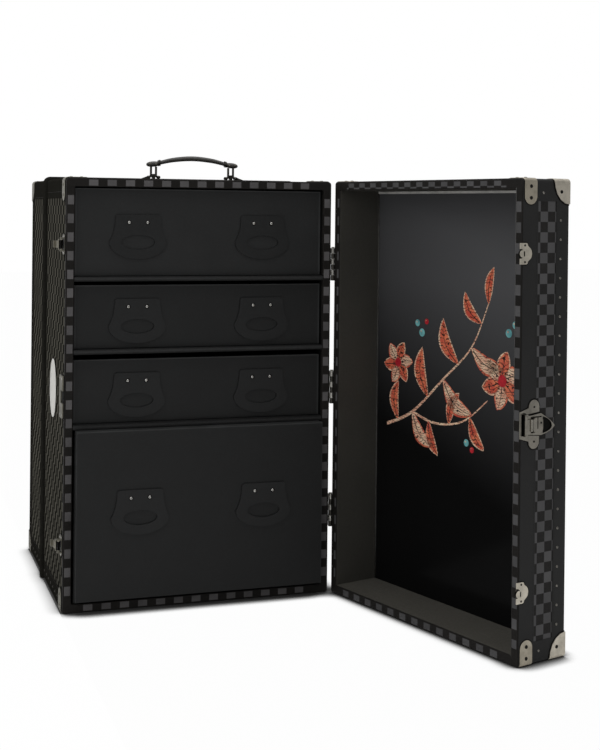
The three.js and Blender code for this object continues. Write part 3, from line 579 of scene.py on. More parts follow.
# Places on the outside of a rounded box, by the run s clockwise round its outline from the top's left
# end, the place y along it and a height h off it
class Sleeve:
    def __init__(self, low=0.0):
        self.low = low
        self.side = HEIGHT - low - 2 * EDGE
        self.lengths = [TOP_RUN, ARC, self.side, ARC, TOP_RUN, ARC, self.side, ARC]
        self.total = sum(self.lengths)
        self.first, self.last = self.low_left(0.5), self.low_right(0.5)
        self.bends = []
        start = 0.0
        for index, length in enumerate(self.lengths):
            if index % 2:
                for turn in (0, self.total, -self.total):
                    self.bends += [start + turn + ARC * k / 6 for k in range(7)]
            start += length

    def top(self, x):
        return x + HALF - EDGE

    def right(self, z):
        return TOP_RUN + ARC + HEIGHT - EDGE - z

    def left(self, z):
        return -ARC - (HEIGHT - EDGE - z)

    def low_right(self, share=0.6):
        return TOP_RUN + ARC + self.side + ARC * share

    def low_left(self, share=0.6):
        return -ARC - self.side - ARC * share

    def clamp(self, s):
        return min(max(s, self.first), self.last)

    def corners(self):
        return (-ARC / 2, TOP_RUN + ARC / 2, self.last, self.first)

    def __call__(self, s, y, h):
        s %= self.total
        corners = ((HALF, HEIGHT), (HALF, self.low), (-HALF, self.low), (-HALF, HEIGHT))
        for index, length in enumerate(self.lengths):
            if s <= length:
                break
            s -= length
        quarter = index // 2
        x, z = corners[quarter]
        centre = Vector((x - math.copysign(EDGE, x), 0, z - (EDGE if z > HEIGHT / 2 else -EDGE)))
        angle = math.pi / 2 * (1 - quarter)
        out = Vector((math.cos(angle), 0, math.sin(angle)))
        along = Vector((math.sin(angle), 0, -math.cos(angle)))
        if index % 2:
            turn = s / EDGE
            point = centre + (out * math.cos(turn) + along * math.sin(turn)) * (EDGE + h)
        else:
            point = centre + out * (EDGE + h) - along * (length - s)
        return Vector((point.x, y, point.z))


CASE = Sleeve()
LID = Sleeve(DOOR_LIFT)


# Flat faces: u and v in the face, and h off it
def rear_face(u, v, h):
    return Vector((-u, REAR + h, v))


def door_back(u, v, h):
    return Vector((u, DOOR_BACK - h, v))


def panel_face(u, v, h):
    return Vector((-u, PANEL + h, v))


# A thin raised sheet with a rounded edge, laid on a surface
def plate(bm, outline, place, thick, soft=0.5, base=-0.15):
    outline = [Vector(p) for p in outline]
    rings = [(0.0, base)]
    for k in range(4):
        angle = math.pi / 2 * k / 3
        rings.append((soft * (1 - math.cos(angle)), thick - soft * (1 - math.sin(angle))))
    rings.append((soft * 1.7, thick))
    flat = bmesh.new()
    loops = [[flat.verts.new((p.x, p.y, h)) for p in inset(outline, d)] for d, h in rings]
    bridge(flat, loops, flip=True)
    flat.faces.new(loops[-1])
    if isinstance(place, Sleeve):
        low, high = min(p.x for p in outline), max(p.x for p in outline)
        for bend in sorted(set(place.bends)):
            if low < bend < high:
                everything = flat.verts[:] + flat.edges[:] + flat.faces[:]
                bmesh.ops.bisect_plane(flat, geom=everything, dist=1e-5, plane_co=(bend, 0, 0), plane_no=(1, 0, 0))
    for vert in flat.verts:
        vert.co = place(*vert.co)
    merge(bm, as_mesh(flat))


def line_plate(bm, outline, place):
    plate(bm, outline, place, LINE, LINE_EDGE)


# Small fasteners and a stitch, as templates that are copied onto their places
def screw_template(radius, height, crossed=True, cells=12):
    bm = bmesh.new()
    grid = {}
    for i in range(cells + 1):
        for j in range(cells + 1):
            a, b = 2 * i / cells - 1, 2 * j / cells - 1
            x, y = a * math.sqrt(1 - b * b / 2), b * math.sqrt(1 - a * a / 2)
            r = min(1.0, math.hypot(x, y))
            z = height * math.sqrt(max(0.0, 1 - r ** 3.2))
            slot = abs(x) < 0.1 and abs(y) < 0.62 or crossed and abs(y) < 0.1 and abs(x) < 0.62
            z -= 0.62 * height if slot else 0
            z -= 0.3 if r > 0.995 else 0
            grid[i, j] = bm.verts.new((x * radius, y * radius, z))
    for i in range(cells):
        for j in range(cells):
            bm.faces.new((grid[i, j], grid[i + 1, j], grid[i + 1, j + 1], grid[i, j + 1]))
    return as_mesh(bm)


def dome_template(radius, height):
    bm = bmesh.new()
    loops = []
    for k in range(4):
        angle = math.pi / 2 * k / 4
        r, z = radius * math.cos(angle), height * math.sin(angle) - (0.2 if k == 0 else 0)
        loops.append([bm.verts.new((x, y, z)) for x, y in ellipse(0, 0, r, r, 14)])
    bridge(bm, loops, flip=True)
    cone(bm, loops[-1], (0, 0, height))
    return as_mesh(bm)


def stitch_template(length, width, height):
    bm = bmesh.new()
    loops = []
    for k in range(5):
        along = length * (k / 4 - 0.5)
        swell = math.sqrt(max(0.05, 1 - (2 * along / length) ** 2))
        turns = [math.pi * n / 4 for n in range(5)]
        points = [(along, width / 2 * swell * math.cos(t), height * swell * math.sin(t) - 0.1) for t in turns]
        loops.append([bm.verts.new(point) for point in points])
    bridge(bm, loops, closed=False)
    return as_mesh(bm)


SCREW = screw_template(3.0, 1.1)
SLOT_SCREW = screw_template(3.0, 1.1, False)
PULL_SCREW = screw_template(2.7, 1.3)
SMALL_SCREW = screw_template(1.9, 0.7, False, 8)
NAIL = dome_template(2.1, 1.2)
BIG_NAIL = dome_template(2.2, 1.5)
KNOB = dome_template(2.8, 2.6)
STITCH = stitch_template(3.4, 0.9, 0.45)


def stud(bm, mesh, place, u, v, h=0.0, spin=0.0):
    centre = place(u, v, h)
    normal = (place(u, v, h + 1) - centre).normalized()
    along = (place(u, v + 0.5, h) - place(u, v - 0.5, h)).normalized()
    across = along.cross(normal)
    basis = Matrix((along, -across, normal)).transposed().to_4x4()
    part = mesh.copy()
    part.transform(Matrix.Translation(centre) @ basis @ Matrix.Rotation(math.radians(spin), 4, "Z"))
    merge(bm, part)


# Nails or stitches in a straight row
def row(bm, mesh, place, start, end, h):
    pitch = STITCH_PITCH if mesh == STITCH else NAIL_PITCH
    count = max(1, round(math.dist(start, end) / pitch))
    for k in range(count + 1):
        u, v = (a + (b - a) * k / count for a, b in zip(start, end))
        stud(bm, mesh, place, u, v, h, 0 if start[0] == end[0] else 90)


# Leather bands, stitches, nails, straps, screws and dark lines of painted shade of one section of the sleeve
class Trim:
    def __init__(self, name, sleeve, body):
        self.name, self.sleeve, self.body = name, sleeve, body
        self.bands, self.threads, self.nails, self.straps, self.screws, self.lines = (bmesh.new() for _ in range(6))

    def band(self, s0, y0, s1, y1, thick=BAND):
        plate(self.bands, rect(s0, min(y0, y1), s1, max(y0, y1)), self.sleeve, thick, BAND_EDGE)

    # A band with its seam, and a row of nails, from one low corner over the top to the other
    def long_band(self, y0, y1, seam):
        low, high = self.sleeve.low_left(), self.sleeve.low_right()
        self.band(low, y0, high, y1, THICK_BAND)
        row(self.threads, STITCH, self.sleeve, (low + 12, seam), (high - 12, seam), THICK_BAND)

    def long_nails(self, mesh, low, high, half, y):
        at = self.sleeve
        for s0, s1 in ((at.left(low), at.left(high)), (at.top(-half), at.top(half)), (at.right(high), at.right(low))):
            row(self.nails, mesh, at, (s0, y), (s1, y), THICK_BAND)

    # Bands along the four long edges, up to a height on the sides, with their seams and nails
    def corner_bands(self, y0, y1, high):
        at = self.sleeve
        ends = ((at.left(high), at.top(-201)), (at.top(201), at.right(high)))
        for s0, s1 in (*ends, (at.low_left(), at.left(34)), (at.right(34), at.low_right())):
            self.band(s0, y0, s1, y1)

    def cross_seams(self, runs, y0, y1):
        for s in runs:
            row(self.threads, STITCH, self.sleeve, (s, y0), (s, y1), BAND)

    def cross_nails(self, y0, y1):
        at = self.sleeve
        for s in (at.left(17), at.right(17), at.top(-218), at.top(218)):
            row(self.nails, NAIL, at, (s, y0), (s, y1), BAND)

    # Screws at the ends of both upright edges, on the sleeve and on the flat face
    def end_screws(self, mesh, face, z, y, h, off):
        for side, at in ((-1, self.sleeve.left), (1, self.sleeve.right)):
            for v in (z, HEIGHT - z):
                stud(self.screws, mesh, self.sleeve, at(v), y, h, 30 * side)
                stud(self.screws, SMALL_SCREW, face, side * (HALF - off), v, 1.8, 40)

    # A metal strap round a corner, with round ends. At a low corner it is cut off square
    def strap(self, corner, y0, y1):
        v0, v1 = min(y0, y1), max(y0, y1)
        middle, radius = (v0 + v1) / 2, (v1 - v0) / 2
        reach = STRAP_REACH - EDGE + ARC / 2
        low, high = self.sleeve.clamp(corner - reach), self.sleeve.clamp(corner + reach)
        points = []
        for s, start, cut in ((high, -90, high < corner + reach - 0.01), (low, 90, low > corner - reach + 0.01)):
            if cut:
                points += [(s, v0), (s, v1)] if start < 0 else [(s, v1), (s, v0)]
            else:
                points += arc(s - math.copysign(radius, s - corner), middle, radius, start, start + 180)
        # painted shade: a dark sheet a little wider than the strap lies under it as its outline
        wider = [(self.sleeve.clamp(p.x), p.y) for p in inset([Vector(p) for p in points], -1.3)]
        line_plate(self.lines, wider, self.sleeve)
        plate(self.straps, points, self.sleeve, STRAP, 0.5)
        for side in (-1, 1):
            for far in (11.0, 28.5):
                s = corner + side * (far - EDGE + ARC / 2)
                if low + 4 < s < high - 4:
                    stud(self.screws, SCREW, self.sleeve, s, middle, STRAP, 25 * side + far)

    def straps_round(self, y0, y1):
        for corner in self.sleeve.corners():
            self.strap(corner, y0, y1)

    def finish(self):
        tag = self.body
        nail, screw = ("nail_door", "screw_door") if tag == "door" else ("gunmetal_case", "nickel_case")
        kinds = {
            "bands": (f"binding_{tag}", "binding_leather"),
            "threads": (f"thread_{tag}", "binding_leather"),
            "nails": (nail, "nickel"),
            "straps": (f"strap_{tag}", "nickel"),
            "screws": (screw, "nickel"),
            "lines": (f"shade_{tag}", "binding_leather"),
        }
        for kind, (material, slot) in kinds.items():
            deliver(f"{self.name}_{kind}", getattr(self, kind), material, tag)


def add_middle():
    t = Trim("middle", CASE, "case")
    front, back = FRONT + 8.8, SEAM - 9.3
    t.corner_bands(front, back, 696)
    sides = (CASE.left(707), CASE.right(707), CASE.left(31.4), CASE.right(31.4))
    t.cross_seams((*sides, CASE.top(-203.6), CASE.top(203.6)), front + 4, back - 3)
    t.straps_round(FRONT + 9, FRONT + 36)
    t.cross_nails(FRONT + 52, back - 12)
    t.finish()


def add_rear():
    t = Trim("rear", CASE, "case")
    front = SEAM + 9.3
    t.long_band(REAR - 31, REAR - 1.0, REAR - 28.4)
    t.corner_bands(front, REAR - 29, 696)
    sides = (CASE.left(696) + 2.6, CASE.right(696) - 2.6, CASE.top(-201) - 2.6, CASE.top(201) + 2.6)
    t.cross_seams((*sides, CASE.left(34) - 2.6, CASE.right(34) + 2.6), front + 3, REAR - 33)
    t.straps_round(front + 4, front + 31)
    t.cross_nails(front + 44, REAR - 40)
    t.long_nails(NAIL, 55, 675, 180, REAR - 15)
    border(t, rear_face, 0.0, REAR, -1)
    t.end_screws(SMALL_SCREW, rear_face, 13, REAR - 12, 1.8, 13)
    t.finish()


# Leather border, stitches, nails and edge bead of a flat outer face
def border(t, face, low, y, inward):
    left, right, top, bottom = -HALF + 1.5, HALF - 1.5, HEIGHT - 1.5, low + 1.5
    seam = BORDER - 2.6
    for u in (left, right - BORDER):
        plate(t.bands, rect(u, bottom, u + BORDER, top, 7), face, THICK_BAND, BAND_EDGE)
    for v0, v1 in ((top - BORDER, top), (bottom, low + BORDER)):
        plate(t.bands, rect(left + BORDER - 2, v0, right - BORDER + 2, v1), face, BAND, BAND_EDGE)
    for u in (left + seam, right - seam):
        row(t.threads, STITCH, face, (u, low + 12), (u, top - 12), THICK_BAND)
    for v in (top - seam, low + seam):
        row(t.threads, STITCH, face, (left + BORDER + 3, v), (right - BORDER - 3, v), BAND)
    for u in (left + 16, right - 16):
        row(t.nails, NAIL, face, (u, low + 55), (u, HEIGHT - 55), THICK_BAND)
    for v in (low + 17, HEIGHT - 17):
        row(t.nails, NAIL, face, (-180, v), (180, v), BAND)
    first, last = t.sleeve.low_left(0.7), t.sleeve.low_right(0.7)
    stops = sorted(bend for bend in t.sleeve.bends if first < bend < last)
    round_bead = ellipse(y + inward * 0.9, -0.9, 1.5, 1.5, 10)
    bridge(t.bands, [[t.bands.verts.new(t.sleeve(s, *point)) for point in round_bead] for s in (first, *stops, last)])


def add_lid():
    t = Trim("door", LID, "door")
    rim_end = RIM - 32.5
    t.long_band(RIM - 1.4, rim_end, rim_end + 2.6)
    t.long_band(RIM - 71.0, DOOR_BACK + 1.0, RIM - 73.5)
    t.corner_bands(rim_end + 3, RIM - 72.5, 697)
    t.straps_round(RIM - 3.5, RIM - 29)
    t.long_nails(BIG_NAIL, 668 - 21 * NAIL_PITCH, 668, 190, RIM - 80)
    for s in (LID.left(709.3), LID.left(18.5), LID.right(709.3), LID.right(18.5)):
        stud(t.nails, BIG_NAIL, LID, s, RIM - 43, BAND)
    border(t, door_back, DOOR_LIFT, DOOR_BACK, 1)
    t.end_screws(SLOT_SCREW, door_back, 18.5, RIM - 80.5, 1.7, 14)
    for z in LATCHES:
        for shift in (-12.5, 12.5):
            stud(t.screws, SMALL_SCREW, LID, LID.left(z + shift), RIM - 4.5, SMALL_SCREW_RISE, 20 + shift)
    for z in (CLASP + 26, CLASP - 26):
        stud(t.screws, SMALL_SCREW, LID, LID.left(z), RIM - 27.5, SMALL_SCREW_RISE, z)
    stud(t.screws, KNOB, LID, LID.left(CLASP + 15.6), RIM - 7, 3.0)
    stud(t.screws, SMALL_SCREW, LID, LID.left(CLASP + 3), RIM - 34, 9.9, 0)
    t.finish()


# Screws of the latches, the lock plate and the hinges
def add_screws():
    bm = bmesh.new()
    for z in LATCHES:
        for shift, y in ((13.8, 8.5), (-13.8, 8.5), (12.5, 22.5), (-12.5, 22.5)):
            stud(bm, SMALL_SCREW, CASE, CASE.left(z + shift), FRONT + y, SMALL_SCREW_RISE, 15 + shift)
    for shift in (-30.5, 30.5):
        for y in (8.5, 30.5):
            stud(bm, SMALL_SCREW, CASE, CASE.left(CLASP + shift), FRONT + y, 3.25, 40 + shift)
    door = bmesh.new()
    for z in HINGES:
        for shift in (-20, 0, 20):
            away = 21 - abs(shift) * 0.3
            stud(bm, SMALL_SCREW, CASE, CASE.right(z + shift), FRONT + away, 2.25, shift + 10)
            stud(door, SMALL_SCREW, LID, LID.right(z + shift), RIM - away, 2.25, shift + 10)
    deliver("case_small_screws", bm, "bright", "case")
    deliver("door_small_screws", door, "nickel_door", "door")


# Painted shade round the fittings: thin dark sheets that reach a little past each of them
def cap_shape(sleeve, corner, end, outward):
    points = []
    for side in (-1, 1):
        leg = []
        for k in range(13):
            angle = math.pi / 2 * k / 12
            far = 39.2 * math.cos(angle)
            run = far - EDGE + ARC / 2 if far > EDGE else far / EDGE * ARC / 2
            leg.append((sleeve.clamp(corner + side * run), end - outward * 33.6 * math.sin(angle)))
        points += leg if side < 0 else leg[-2::-1]
    clean = [p for k, p in enumerate(points) if k == 0 or math.dist(p, points[k - 1]) > 0.3]
    return clean if outward < 0 else clean[::-1]


# The line of a cap's quarter circle on a flat face
def cap_quarter(side, low, is_top):
    v, rise = (HEIGHT, -1) if is_top else (low, 1)
    turns = [math.radians(degrees) for degrees in range(8, 83, 6)]
    curve = [(side * HALF - side * 37.6 * math.sin(t), v + rise * 39.2 * math.cos(t)) for t in turns]
    u = side * (HALF - 1.0)
    shape = [(u, v + rise), (u, curve[0][1]), *curve, (curve[-1][0], v + rise)]
    return shape if (side > 0) != is_top else shape[::-1]


# Half of the keeper's outline, as places off the rim and off its middle
KEEPER_LINE = ((2.4, 17.4), (7.8, 17.4), (11.2, 15.6), (12.1, 12.6), (15.2, 8.9), (18.8, 5.9), (20.5, 2.8))


def clasp_lever_line():
    shape = [(4.0, -15.6), (16, -15.6), (38, -18.0)]
    for a, b, c in (((38, -18), (62, -13.8), (69, -4)), ((69, -4), (62, 6.0), (38, 18))):
        for t in (0.15, 0.3, 0.45, 0.6, 0.75, 0.9, 1.0):
            shape.append(tuple((1 - t) ** 2 * p + 2 * t * (1 - t) * q + t * t * r for p, q, r in zip(a, b, c)))
    return shape + [(16, 15.6), (4.0, 15.6)]


# painted shade: dark sheets round the latches, keepers, lock plate, clasp lever and caps
def add_lines():
    case, lid = bmesh.new(), bmesh.new()

    def on_lid(z, shape):
        return [(LID.left(z) + v, RIM - u) for u, v in shape][::-1]

    for z in LATCHES:
        s = CASE.left(z)
        line_plate(case, rect(s - 18.3, FRONT + 4.9, s + 18.3, FRONT + 28.3, 6), CASE)
        line_plate(lid, on_lid(z, [(u, -v) for u, v in KEEPER_LINE] + list(KEEPER_LINE[::-1])), LID)
    s = CASE.left(CLASP)
    line_plate(case, rect(s - 37, FRONT + 2, s + 37, FRONT + 37, 5), CASE)
    lobes = arc(27, -26, 12.5, 180, 360) + arc(27, 26, 12.5, 0, 180)
    line_plate(lid, on_lid(CLASP, [(2.0, -21.8), (15.0, -26.4), *lobes, (15.0, 26.4), (2.0, 21.8)]), LID)
    plate(lid, on_lid(CLASP, clasp_lever_line()), LID, 2.15, 0.15)
    ends = ((case, CASE, rear_face, REAR, 1), (lid, LID, door_back, DOOR_BACK, -1))
    for bm, sleeve, face, end, outward in ends:
        for corner in sleeve.corners():
            line_plate(bm, cap_shape(sleeve, corner, end, outward), sleeve)
        for side in (-1, 1):
            for is_top in (False, True):
                line_plate(bm, cap_quarter(side, sleeve.low, is_top), face)
    deliver("case_fitting_lines", case, "shade_case", "case")
    deliver("door_fitting_lines", lid, "shade_door", "door")


# Bare oval plate on the left side: a dark line of painted shade round it, a rim and a crowned face
def add_plate():
    s, y = CASE.left(362), FRONT + 130
    bm = bmesh.new()
    plate(bm, ellipse(s, y, 52.3, 36.8), CASE, 0.9, 0.3)
    deliver("oval_plate_line", bm, "shade_case", "case")
    bm = bmesh.new()
    plate(bm, ellipse(s, y, 51.5, 36), CASE, 1.6, 0.9)
    deliver("oval_plate_rim", bm, "enamel", "case")
    bm = bmesh.new()
    loops = []
    for k in range(8):
        share = 1 - k / 8
        rise = 1.4 + 2.2 * (1 - share ** 2)
        loops.append([bm.verts.new((u, v, rise)) for u, v in ellipse(s, y, 46 * share, 31 * share)])
    bridge(bm, loops, flip=True)
    cone(bm, loops[-1], (s, y, 3.6))
    for vert in bm.verts:
        vert.co = CASE(*vert.co)
    deliver("oval_plate", bm, "enamel", "case")


# Lining of the door's hollow
def add_lining():
    bm = bmesh.new()
    inner, low, high = HALF - WALL, WALL + DOOR_LIFT, HEIGHT - WALL
    front, back = RIM - 1.6, PANEL + 0.1
    tall, wide = high - low, 2 * inner
    walls = (
        ((-inner, low), (0, 1), tall, (1, 0)),
        ((-inner, high), (1, 0), wide, (0, -1)),
        ((inner, high), (0, -1), tall, (-1, 0)),
        ((inner, low), (-1, 0), wide, (0, 1)),
    )
    for start, along, length, out in walls:
        start, along, out = (Vector((x, 0, z)) for x, z in (start, along, out))
        wall = [(0, front), (length, front), (length, back), (0, back)]
        if along.cross(Vector((0, 1, 0))).dot(out) < 0:
            wall.reverse()
        place = lambda u, v, h, a=start, b=along, c=out: a + b * u + Vector((0, v, 0)) + c * h
        plate(bm, wall, place, 0.5, 0.3)
    deliver("door_lining", bm, "lining", "door")


# Screws of the drawers' pulls, each on a dark ring of painted shade
def add_pull_screws():
    shallow, deep = (FRONT + 9.2, 110.5), (FRONT - 20.8, 108.5)
    places = (("top", 593, shallow), ("middle", 449.5, shallow), ("low", 323.5, shallow), ("deep", 129.5, deep))
    for level, low, (front, half) in places:
        bm, rings = bmesh.new(), bmesh.new()
        face = lambda u, v, h, y=front: Vector((u, y - h, v))
        v = low + 62.7
        for centre in (-half, half):
            for side in (-16, 16):
                stud(bm, PULL_SCREW, face, centre + side, v, 0.45, 20 + side + centre / 7)
                plate(rings, ellipse(centre + side, v, 3.7, 3.7, 20), face, 0.5, 0.2)
        deliver(f"drawer_{level}_screws", bm, "bright", f"drawer_{level}")
        deliver(f"drawer_{level}_rings", rings, "shade_case", f"drawer_{level}")


# Metal strips along the panel's top and sides
def add_trims():
    edge, low, high = HALF - WALL - 0.8, WALL + DOOR_LIFT + 0.8, HEIGHT - WALL - 0.8
    bm = bmesh.new()
    plate(bm, rect(-edge, high - 4.2, edge, high), panel_face, 2.0, 0.4, 0.0)
    deliver("panel_trim_top", bm, "trim_top", "door")
    bm = bmesh.new()
    for u in (edge - 2, -edge):
        plate(bm, rect(u, low, u + 2, high - 4.4), panel_face, 2.0, 0.4, 0.0)
    deliver("panel_trims", bm, "trim", "door")


# Outline and spine of a leaf, and of a line that narrows
def leaf(root, angle, length, width, bend):
    along = Vector((math.cos(angle), math.sin(angle)))
    across = Vector((-along.y, along.x))
    left, right = [], []
    for k in range(15):
        t = k / 14
        middle = Vector(root) + along * (length * t) + across * (bend * length * math.sin(math.pi * t * 0.9))
        half = width / 2 * math.sin(math.pi * min(1, t * 0.97 + 0.015)) ** 0.8
        left.append(middle - across * half)
        right.append(middle + across * half)
    return left + right[-2:0:-1], [(a + b) / 2 for a, b in zip(left, right)]


def ribbon(points, wide, thin):
    left, right = [], []
    for k, point in enumerate(points):
        before, after = points[max(0, k - 1)], points[min(len(points) - 1, k + 1)]
        along = (after - before).normalized()
        half = (wide + (thin - wide) * k / (len(points) - 1)) / 2
        left.append(point + Vector((-along.y, along.x)) * half)
        right.append(point - Vector((-along.y, along.x)) * half)
    return right + left[::-1]


def smooth_curve(points):
    curve = []
    knots = [Vector(p) for p in points]
    for k in range(len(knots) - 1):
        p0, p1, p2, p3 = knots[max(0, k - 1)], knots[k], knots[k + 1], knots[min(len(knots) - 1, k + 2)]
        for step in range(8):
            t = step / 8
            square, cube = 2 * p0 - 5 * p1 + 4 * p2 - p3, 3 * p1 - p0 - 3 * p2 + p3
            curve.append(0.5 * ((2 * p1) + (p2 - p0) * t + square * t * t + cube * t ** 3))
    return curve + [knots[-1]]


# Printed spray of leaves, petals and berries on the panel, in very thin sheets
class Spray:
    def __init__(self):
        self.parts = {name: bmesh.new() for name in ("orange", "cream", "black_ink", "teal", "red")}

    def sheet(self, name, outline, thick):
        plate(self.parts[name], outline, panel_face, thick, 0.06, 0.0)

    def leaf(self, root, angle, length, width, bend, name="orange"):
        self.sheet("cream" if name == "orange" else "orange", leaf(root, angle, length, width, bend)[0], 0.14)
        inner, spine = leaf(root, angle, length * 0.97, width * 0.8, bend)
        self.sheet(name, inner, 0.22)
        self.sheet("black_ink", ribbon(spine[1:-1], 2.0, 0.7), 0.3)

    def flower(self, u, v, radius, turn):
        for k in range(6):
            self.leaf((u, v), turn + k * math.pi / 3, radius, radius * 0.62, 0.06, "orange" if k % 2 else "cream")
        self.sheet("red", ellipse(u, v, radius * 0.2, radius * 0.2, 20), 0.4)
        for k in range(8):
            angle = turn + k * math.pi / 4
            spot = (u + radius * 0.3 * math.cos(angle), v + radius * 0.3 * math.sin(angle))
            self.sheet("black_ink", ellipse(*spot, 1.5, 1.5, 10), 0.45)

    def stem(self, points, wide):
        curve = smooth_curve(points)
        self.sheet("cream", ribbon(curve, wide, 2), 0.1)
        return curve

    def berry(self, u, v, r):
        self.sheet("teal" if r > 5 else "red", ellipse(u, v, r, r, 20), 0.3)
        self.sheet("cream", ellipse(u - r * 0.3, v + r * 0.3, r * 0.25, r * 0.25, 10), 0.4)


MAIN_LEAVES = (
    (4, 1.5, 70, 0.2),
    (8, -0.7, 78, -0.2),
    (12, 1.7, 86, 0.18),
    (16, -0.55, 90, -0.2),
    (20, 2.0, 84, 0.2),
    (24, -0.3, 84, -0.18),
    (28, 2.2, 66, 0.2),
)
BERRIES = (
    (-96, 470, 7), (-108, 486, 6), (-84, 490, 5), (118, 486, 7), (132, 500, 6), (20, 296, 6), (34, 286, 5),
)


def add_spray():
    spray = Spray()
    main = spray.stem(((-190, 300), (-120, 330), (-40, 395), (30, 455), (70, 530)), 6)
    for index, turn, length, bend in MAIN_LEAVES:
        spray.leaf(main[index], turn, length, length * 0.36, bend, "orange" if index % 8 else "cream")
    spray.leaf(main[-1], 1.35, 62, 20, 0.1)
    low = spray.stem(((-120, 330), (-60, 318), (10, 330), (70, 372)), 5)
    for index, turn in ((6, -1.1), (12, 1.1), (18, -0.9)):
        spray.leaf(low[index], turn, 62, 23, 0.15 if turn > 0 else -0.15)
    spray.flower(104, 408, 50, 0.3)
    spray.flower(-160, 412, 40, 0.1)
    for berry in BERRIES:
        spray.berry(*berry)
    for name, bm in spray.parts.items():
        deliver(f"panel_spray_{name}", bm, name, "door")


# The grip's middle line: heights over its base at places along x
GRIP_Y, GRIP_BASE = FRONT + 80, HEIGHT + 7
GRIP_LINE = ((-72, 21.2), (-61.5, 23.2), (-35.25, 29.0), (0, 32.0), (35.25, 29.0), (61.5, 23.2), (72, 21.2))


def grip_rise(x):
    last = len(GRIP_LINE) - 3
    index = next((k for k in range(1, last) if x <= GRIP_LINE[k + 1][0]), last)
    (x0, z0), (x1, z1), (x2, z2), (x3, z3) = GRIP_LINE[index - 1:index + 3]
    t = (x - x1) / (x2 - x1)
    m1, m2 = (z2 - z0) / (x2 - x0) * (x2 - x1), (z3 - z1) / (x3 - x1) * (x2 - x1)
    start, end = (2 * t ** 3 - 3 * t * t + 1) * z1, (3 * t * t - 2 * t ** 3) * z2
    return start + (t ** 3 - 2 * t * t + t) * m1 + end + (t ** 3 - t * t) * m2


# Bowed leather grip with bulbous ends
def add_grip():
    bm = bmesh.new()
    loops = []
    for k in range(61):
        x = -66 + 132 * k / 60
        radius = 3.3 + 1.5 * max(0.0, 1 - (x / 66) ** 2) ** 0.7
        loop = []
        for across, up in ellipse(0, 0, 1, 1, 20):
            height = radius * (0.97 if up > 0 else 0.85) * up
            loop.append(bm.verts.new((x, GRIP_Y + radius * 1.15 * across, GRIP_BASE + grip_rise(x) + height)))
        loops.append(loop)
    tube(bm, loops)
    for side in (-1, 1):
        centre = Vector((side * 71.5, GRIP_Y, GRIP_BASE + 21.4))
        loops = []
        for k in range(1, 12):
            angle = math.pi * k / 12
            radius = math.sin(angle) ** 0.75
            x, z = centre.x - 12 * math.cos(angle) * side, centre.z + 0.9 * math.cos(angle)
            loops.append([bm.verts.new((x, *point)) for point in ellipse(centre.y, z, 5.9 * radius, 4.9 * radius, 16)])
        tube(bm, loops)
    bmesh.ops.recalc_face_normals(bm, faces=bm.faces)
    deliver("leather_grip", bm, "grip", "handle", ("handle_grip",))


# Rings, rivets and stitches of the grip, and the knobs on the handle's feet
def add_grip_details():
    rings, rivets, threads, knobs = (bmesh.new() for _ in range(4))
    for side in (-1, 1):
        for x, radius in ((59.5, 5.0), (62.0, 4.7)):
            centre = Vector((side * x, GRIP_Y, GRIP_BASE + grip_rise(side * x)))
            loops = []
            for across, up in ellipse(0, 0, 1, 1, 18):
                out = Vector((0, 1.1 * across, up))
                loop = []
                for a in (0, 1.26, 2.51, 3.77, 5.03):
                    point = centre + out * (radius + 0.8 * math.cos(a)) + Vector((1.1 * math.sin(a), 0, 0))
                    loop.append(rings.verts.new(point))
                loops.append(loop)
            bridge(rings, loops + loops[:1])
        for x in (67.0, 77.5):
            face = lambda u, v, h: Vector((u, GRIP_Y - 5.2 - h, v))
            stud(rivets, SMALL_SCREW, face, side * x, GRIP_BASE + 22.0, 0.0, 30)
    for k in range(30):
        x = -54 + 108 * k / 29
        face = lambda u, v, h: Vector((u, GRIP_Y - 1.15 * 4.4 - h, v))
        stud(threads, STITCH, face, x, GRIP_BASE + grip_rise(x) - 0.6, -0.15, 0)
    for side in (-1, 1):
        for x in (-4.6, 4.6):
            for front in (-1, 1):
                face = lambda u, v, h, f=front: Vector((u, GRIP_Y + f * (5.0 + h), v))
                stud(knobs, KNOB, face, side * 70.5 + x * 1.9, HEIGHT + 5.2, 0.0)
    for bm in (rings, knobs):
        bmesh.ops.recalc_face_normals(bm, faces=bm.faces)
    deliver("grip_rings", rings, "gunmetal_case", "handle")
    deliver("grip_rivets", rivets, "nickel_case", "handle")
    deliver("grip_stitches", threads, "thread_case", "handle")
    deliver("foot_knobs", knobs, "gunmetal_case", "case")


add_middle()
add_rear()
add_lid()
add_lines()
add_screws()
add_plate()
add_lining()
add_pull_screws()
add_trims()
add_spray()
add_grip()
add_grip_details()


# Stage: a pale floor that the camera sees as white, except close to the object, where ambient occlusion lets it see
# the lit floor in a dark colour of its own: painted shade over the real shadow
def add_floor():
    s = Shader("floor_white")
    seen = s.term("Is Camera Ray", "ShaderNodeLightPath")
    near = s.term("AO", "ShaderNodeAmbientOcclusion", {"Distance": 0.038}, samples=24)
    open_share = s.math("SMOOTH_MIN", s.ramp(near, 0.5, 0.9), 1.0, 0.05, use_clamp=True)
    # painted shade: camera rays see the floor in a dark colour, all other rays in a pale one
    s.finish(s.mix(seen, (0.86, 0.86, 0.86), (0.1, 0.1, 0.098)), 0.9, None, 0.1)
    # the painted shade is narrower left of the case
    left = s.split(s.place())[0] < -HALF - 3
    clear = open_share ** s.blend(left, 1.6, 0.45) * seen
    glow = s.term(0, "ShaderNodeEmission", {0: (1, 1, 1), 1: 1.0})
    s.put(s.out.inputs[0], s.term(0, "ShaderNodeMixShader", {0: clear, 1: s.surface, 2: glow}))
    bm = bmesh.new()
    bmesh.ops.create_grid(bm, x_segments=8, y_segments=8, size=12.0)
    mesh = as_mesh(bm, "floor")
    mesh.materials.append(s.mat)
    obj = add_object("floor", mesh)
    obj.location.z = -0.0004


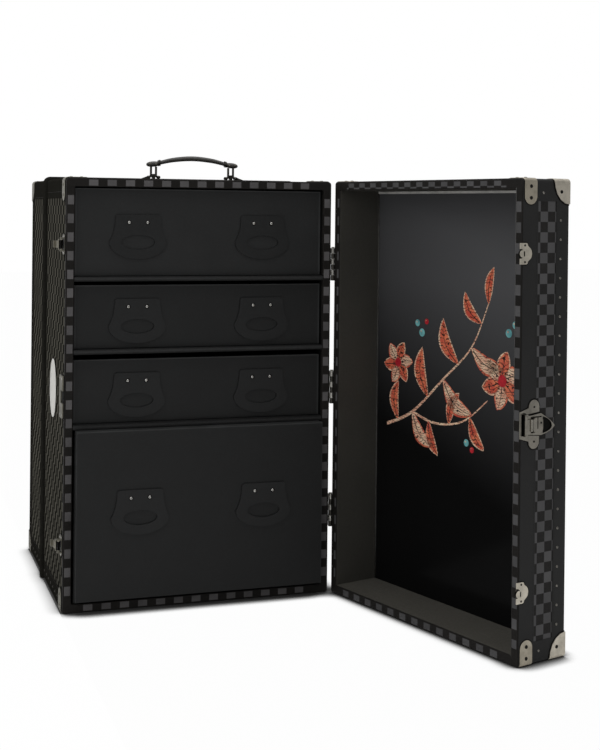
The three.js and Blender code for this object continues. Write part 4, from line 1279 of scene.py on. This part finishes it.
# White surroundings for the camera, and a light that grows from front to back for everything else
def add_world():
    world = bpy.data.worlds.new("surroundings")
    g = Graph(world)
    depth = g.split(g.term("Generated", "ShaderNodeTexCoord"))[1]
    strength = g.ramp(depth, -0.6, 0.5, 0.42, 0.95, interpolation_type="SMOOTHSTEP")
    seen = g.term("Is Camera Ray", "ShaderNodeLightPath")
    plain = g.term(0, "ShaderNodeBackground", {1: strength})
    white = g.term(0, "ShaderNodeBackground", {0: (1, 1, 1)})
    g.node("ShaderNodeOutputWorld", {0: g.term(0, "ShaderNodeMixShader", {0: seen, 1: plain, 2: white})})
    scene.world = world


def add_lamp(name, place, target, size, power):
    data = bpy.data.lights.new(name, "AREA")
    data.shape = "RECTANGLE"
    data.size, data.size_y = size
    data.energy = power
    obj = add_object(name, data)
    obj.location = place
    obj.rotation_euler = (Vector(target) - Vector(place)).to_track_quat("-Z", "Y").to_euler()


# Camera at the photograph's angle, fitted to the corners of the two rims in a frame 750 pixels high
def add_camera():
    frame_height, focal_length, horizon = 750, 1319.9, 216.8
    yaw, pitch, roll = (math.radians(a) for a in (18.42, 0.22, 0.615))
    ahead = Vector((math.sin(yaw) * math.cos(pitch), math.cos(yaw) * math.cos(pitch), -math.sin(pitch)))
    right = Vector((math.cos(yaw), -math.sin(yaw), 0))
    up = right.cross(ahead)
    turned = math.cos(roll) * right + math.sin(roll) * up
    upright = -math.sin(roll) * right + math.cos(roll) * up
    data = bpy.data.cameras.new("camera")
    data.sensor_width = 36
    data.lens = focal_length * data.sensor_width / frame_height
    data.shift_y = -(frame_height / 2 - horizon) / frame_height
    obj = add_object("camera", data)
    basis = Matrix((turned, upright, -ahead)).transposed().to_4x4()
    obj.matrix_world = Matrix.Translation((-0.5608, -2.4377, 0.6770)) @ basis
    scene.camera = obj


add_floor()
add_world()
add_lamp("top_softbox", (0.1, -0.5, 2.6), (0.1, -0.1, 0.3), (2.4, 2.0), 30)
add_lamp("front_softbox", (-1.6, -2.6, 1.9), (0.1, -0.2, 0.35), (1.6, 1.6), 16)
add_camera()
scene.view_settings.view_transform = "Standard"
